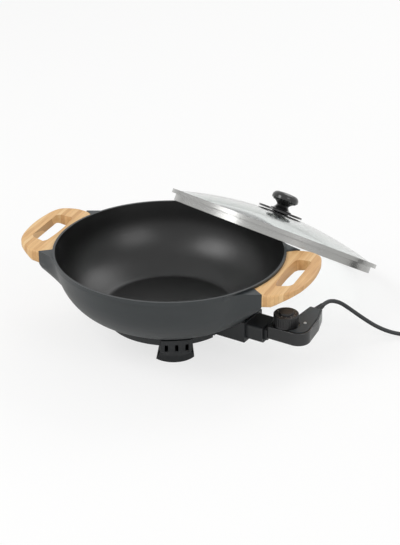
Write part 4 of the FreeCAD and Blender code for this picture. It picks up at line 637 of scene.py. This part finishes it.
# Stamped foil, with the unevenness that it takes on from fingers.
foil, surface = begin("hot_stamped_foil", {"Roughness": 0.45})
coords = add(foil, "ShaderNodeTexCoord")
rubbed = add(foil, "ShaderNodeTexNoise", {"Vector": coords.outputs["Object"], "Scale": 700.0})
tint = add(foil, "ShaderNodeMix", {0: rubbed.outputs["Fac"], 6: linear(FOIL_DARK),
                                   7: linear(FOIL_LIGHT)}, data_type="RGBA")
link(foil, tint.outputs[2], surface, "Base Color")


def flatten(piece):
    """Moves the object's place into its mesh."""
    pick(piece)
    bpy.ops.object.transform_apply(location=True, rotation=True, scale=True)


def finish_piece(piece, name, material, body):
    """Names a finished piece, gives it its material and lets it ride on its body."""
    flatten(piece)
    piece.name = name
    piece.data.name = name
    piece.data.materials.clear()
    piece.data.materials.append(material)
    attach(piece, body)


for value in range(NUMBERS):
    turn = FIRST + STEP * value
    spot = (DIAL_X + NUMBER_PLACE * math.cos(turn), DIAL_Y + NUMBER_PLACE * math.sin(turn),
            RING_TOP)
    bpy.ops.object.select_all(action="DESELECT")
    bpy.ops.object.text_add(location=spot, rotation=(0, 0, turn + math.pi / 2))
    figure = bpy.context.object
    figure.data.body = str(value)
    figure.data.size = NUMBER_HIGH
    figure.data.align_x = "CENTER"
    figure.data.align_y = "CENTER"
    figure.data.extrude = STAMPED
    bpy.ops.object.convert(target="MESH")
    finish_piece(bpy.context.object, "dial_number_%d" % value, foil, "dial")

bpy.ops.object.select_all(action="DESELECT")
bpy.ops.mesh.primitive_plane_add(size=1, location=(DIAL_X + TICK_PLACE, DIAL_Y, RING_TOP))
tick = bpy.context.object
tick.scale = (TICK_LONG, TICK_LONG / 3, 1)
flatten(tick)
bpy.ops.object.mode_set(mode="EDIT")
bpy.ops.mesh.select_all(action="SELECT")
bpy.ops.mesh.extrude_region_move(TRANSFORM_OT_translate={"value": (0, 0, STAMPED)})
bpy.ops.mesh.select_all(action="SELECT")
for index in range(NUMBERS * 2 - 2):
    bpy.ops.mesh.duplicate()
    bpy.ops.transform.rotate(value=STEP / 2, orient_axis="Z", center_override=(DIAL_X, DIAL_Y, 0))
bpy.ops.mesh.select_all(action="SELECT")
bpy.ops.mesh.normals_make_consistent(inside=False)
bpy.ops.object.mode_set(mode="OBJECT")
finish_piece(tick, "dial_ticks", foil, "dial")


# Strain relief, plug and tie: soft black PVC moulded on the lead, and a strap of the same round
# the coil. The soft grade is matt with a faint bloom.
PVC_DARK = "#17181a"
PVC_LIGHT = "#232527"

pvc, surface = begin("soft_pvc", {"Roughness": 0.5})
coords = add(pvc, "ShaderNodeTexCoord")
bloom = add(pvc, "ShaderNodeTexNoise", {"Vector": coords.outputs["Object"], "Scale": 180.0,
                                        "Detail": 3.0})
tint = add(pvc, "ShaderNodeMix", {0: bloom.outputs["Fac"], 6: linear(PVC_DARK),
                                  7: linear(PVC_LIGHT)}, data_type="RGBA")
link(pvc, tint.outputs[2], surface, "Base Color")
dress(pvc, "strain_relief", "plug_body", "cord_tie")


# Lead: a round three core flex in matt black rubber, 6.5 mm thick. It runs down from the strain
# relief to the table, and the rest of its length is wound into a tied coil.
CORD_RADIUS = 0.00325
CORD_LOW = 0.00435
LAYER = 0.0072
COIL_CENTRE = Vector((0.372, 0.235, 0))
COIL_TURN = math.radians(80)
COIL_RADIUS = 0.043
COIL_HALF_TURNS = 4
POINTS_PER_HALF = 8
RUN_IN = 0.022
RUN_OUT = 0.008
TAIL = 0.044
RUBBER_DARK = "#1b1d1f"
RUBBER_LIGHT = "#292c2e"

heading = Vector((math.cos(COIL_TURN), math.sin(COIL_TURN), 0))
outward = Vector((heading.y, -heading.x, 0))
coil_start = (COIL_CENTRE + outward * COIL_RADIUS - heading * 2 * CORD_RADIUS
              + Vector((0, 0, CORD_LOW)))
route = [
    Vector((0.23049, 0.06060, 0.069)),
    Vector((0.2326, 0.0744, 0.069)),
    Vector((0.238, 0.088, 0.066)),
    Vector((0.248, 0.099, 0.059)),
    Vector((0.262, 0.106, 0.047)),
    Vector((0.280, 0.112, 0.033)),
    Vector((0.302, 0.119, 0.018)),
    Vector((0.326, 0.127, 0.008)),
    Vector((0.352, 0.137, CORD_LOW)),
    Vector((0.378, 0.152, CORD_LOW)),
    Vector((0.398, 0.174, CORD_LOW)),
    coil_start - heading * RUN_IN,
    coil_start,
]
# Each half turn is wound half a layer further in, and the way back lies on top of the way in.
stations = [(COIL_RADIUS - LAYER / 2 * step, CORD_LOW) for step in range(COIL_HALF_TURNS + 1)]
stations.append((COIL_RADIUS - LAYER / 2 * (COIL_HALF_TURNS + 1), CORD_LOW + LAYER))
stations += [(COIL_RADIUS - LAYER / 2 * step, CORD_LOW + LAYER)
             for step in range(COIL_HALF_TURNS - 1, 0, -1)]
swell = 1 / math.cos(math.pi / POINTS_PER_HALF / 2)
for step, ((size, low), (after, high)) in enumerate(zip(stations, stations[1:])):
    for index in range(POINTS_PER_HALF):
        share = (index + 0.5) / POINTS_PER_HALF
        turn = COIL_TURN - math.pi / 2 + math.pi * (step + share)
        reach = (size + (after - size) * share) * swell
        route.append(COIL_CENTRE + Vector((reach * math.cos(turn), reach * math.sin(turn),
                                           low + (high - low) * share)))
last_way = heading * (1 if len(stations) % 2 else -1)
last_side = outward * (1 if len(stations) % 2 else -1)
coil_end = COIL_CENTRE + last_side * stations[-1][0] + Vector((0, 0, CORD_LOW + LAYER))
route += [coil_end + last_way * RUN_OUT, coil_end + last_way * TAIL]

line = bpy.data.curves.new("cord", "CURVE")
line.dimensions = "3D"
line.bevel_depth = CORD_RADIUS
line.bevel_resolution = 5
line.use_fill_caps = True
spline = line.splines.new("NURBS")
spline.points.add(len(route) - 1)
for point, spot in zip(spline.points, route):
    point.co = (*spot, 1)
spline.order_u = 3
spline.use_endpoint_u = True
spline.resolution_u = 8
lead = bpy.data.objects.new("cord", line)
bpy.context.scene.collection.objects.link(lead)

rubber, surface = begin("rubber_flex", {"Roughness": 0.55})
coords = add(rubber, "ShaderNodeTexCoord")
bloom = add(rubber, "ShaderNodeTexNoise", {"Vector": coords.outputs["Object"], "Scale": 350.0,
                                           "Detail": 3.0})
tint = add(rubber, "ShaderNodeMix", {0: bloom.outputs["Fac"], 6: linear(RUBBER_DARK),
                                     7: linear(RUBBER_LIGHT)}, data_type="RGBA")
link(rubber, tint.outputs[2], surface, "Base Color")
lead.data.materials.append(rubber)
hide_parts("cord_lead", "cord_coil")
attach(lead, "control")
tuple(route[0])


# Studio: a flat floor of pale paper, a white surround for what the camera sees directly, in a
# gloss or through glass, and three soft lamps.
PAPER = "#f2f2f1"
PAPER_GLOW = 0.72
ROOM_LIGHT = 0.55
WHITE = (1, 1, 1, 1)
AIM = Vector((0, 0, 0.1))
LAMPS = (("key", (-1.5, -1.6, 2.4), 1.6, 42),
         ("fill", (2.2, -1.0, 1.7), 1.4, 18),
         ("rim", (0.6, 2.2, 2.0), 1.6, 20))
VIEW_PLACE = (0.93203, -2.04626, 1.24276)
VIEW_TURN = (math.radians(63.222), 0, math.radians(23.29))
VIEW_LENS = 107.18
VIEW_FILM = 36

bpy.ops.object.select_all(action="DESELECT")
bpy.ops.mesh.primitive_plane_add(size=12, location=(0, 0, 0))
sweep = bpy.context.object
bpy.ops.object.mode_set(mode="EDIT")
bpy.ops.mesh.subdivide(number_cuts=3)
bpy.ops.object.mode_set(mode="OBJECT")
sweep.name = "sweep"
paper, surface = begin("pale_paper", {"Base Color": linear(PAPER), "Roughness": 0.9})
ray = add(paper, "ShaderNodeLightPath")
glow = add(paper, "ShaderNodeEmission", {"Color": WHITE, "Strength": 1.0})
seen = add(paper, "ShaderNodeMath", {0: ray.outputs["Is Camera Ray"],
                                     1: ray.outputs["Is Transmission Ray"]}, operation="MAXIMUM")
most = add(paper, "ShaderNodeMath", {0: seen.outputs[0], 1: PAPER_GLOW}, operation="MULTIPLY")
lit = add(paper, "ShaderNodeMixShader", {0: most.outputs[0], 1: surface.outputs[0],
                                         2: glow.outputs[0]})
link(paper, lit.outputs[0], paper.node_tree.nodes["Material Output"], "Surface")
sweep.data.materials.append(paper)

world = bpy.data.worlds.new("studio")
bpy.context.scene.world = world
world.use_nodes = True
back = world.node_tree.nodes["Background"]
ray = add(world, "ShaderNodeLightPath")
seen = add(world, "ShaderNodeMath", {0: ray.outputs["Is Camera Ray"],
                                     1: ray.outputs["Is Transmission Ray"]}, operation="MAXIMUM")
clear = add(world, "ShaderNodeMath", {0: seen.outputs[0], 1: ray.outputs["Is Glossy Ray"]},
            operation="MAXIMUM")
strength = add(world, "ShaderNodeMapRange", {"Value": clear.outputs[0], "To Min": ROOM_LIGHT,
                                             "To Max": 1.0})
back.inputs["Color"].default_value = WHITE
link(world, strength.outputs[0], back, "Strength")

for name, spot, size, power in LAMPS:
    lamp = bpy.data.lights.new(name, "AREA")
    lamp.size = size
    lamp.energy = power
    holder = bpy.data.objects.new(name, lamp)
    holder.location = spot
    holder.rotation_euler = (AIM - Vector(spot)).to_track_quat("-Z", "Y").to_euler()
    bpy.context.scene.collection.objects.link(holder)

view = bpy.data.cameras.new("camera")
view.sensor_fit = "VERTICAL"
view.sensor_height = VIEW_FILM
view.lens = VIEW_LENS
viewer = bpy.data.objects.new("camera", view)
viewer.location = VIEW_PLACE
viewer.rotation_euler = VIEW_TURN
bpy.context.scene.collection.objects.link(viewer)
bpy.context.scene.camera = viewer
bpy.context.scene.view_settings.view_transform = "Standard"
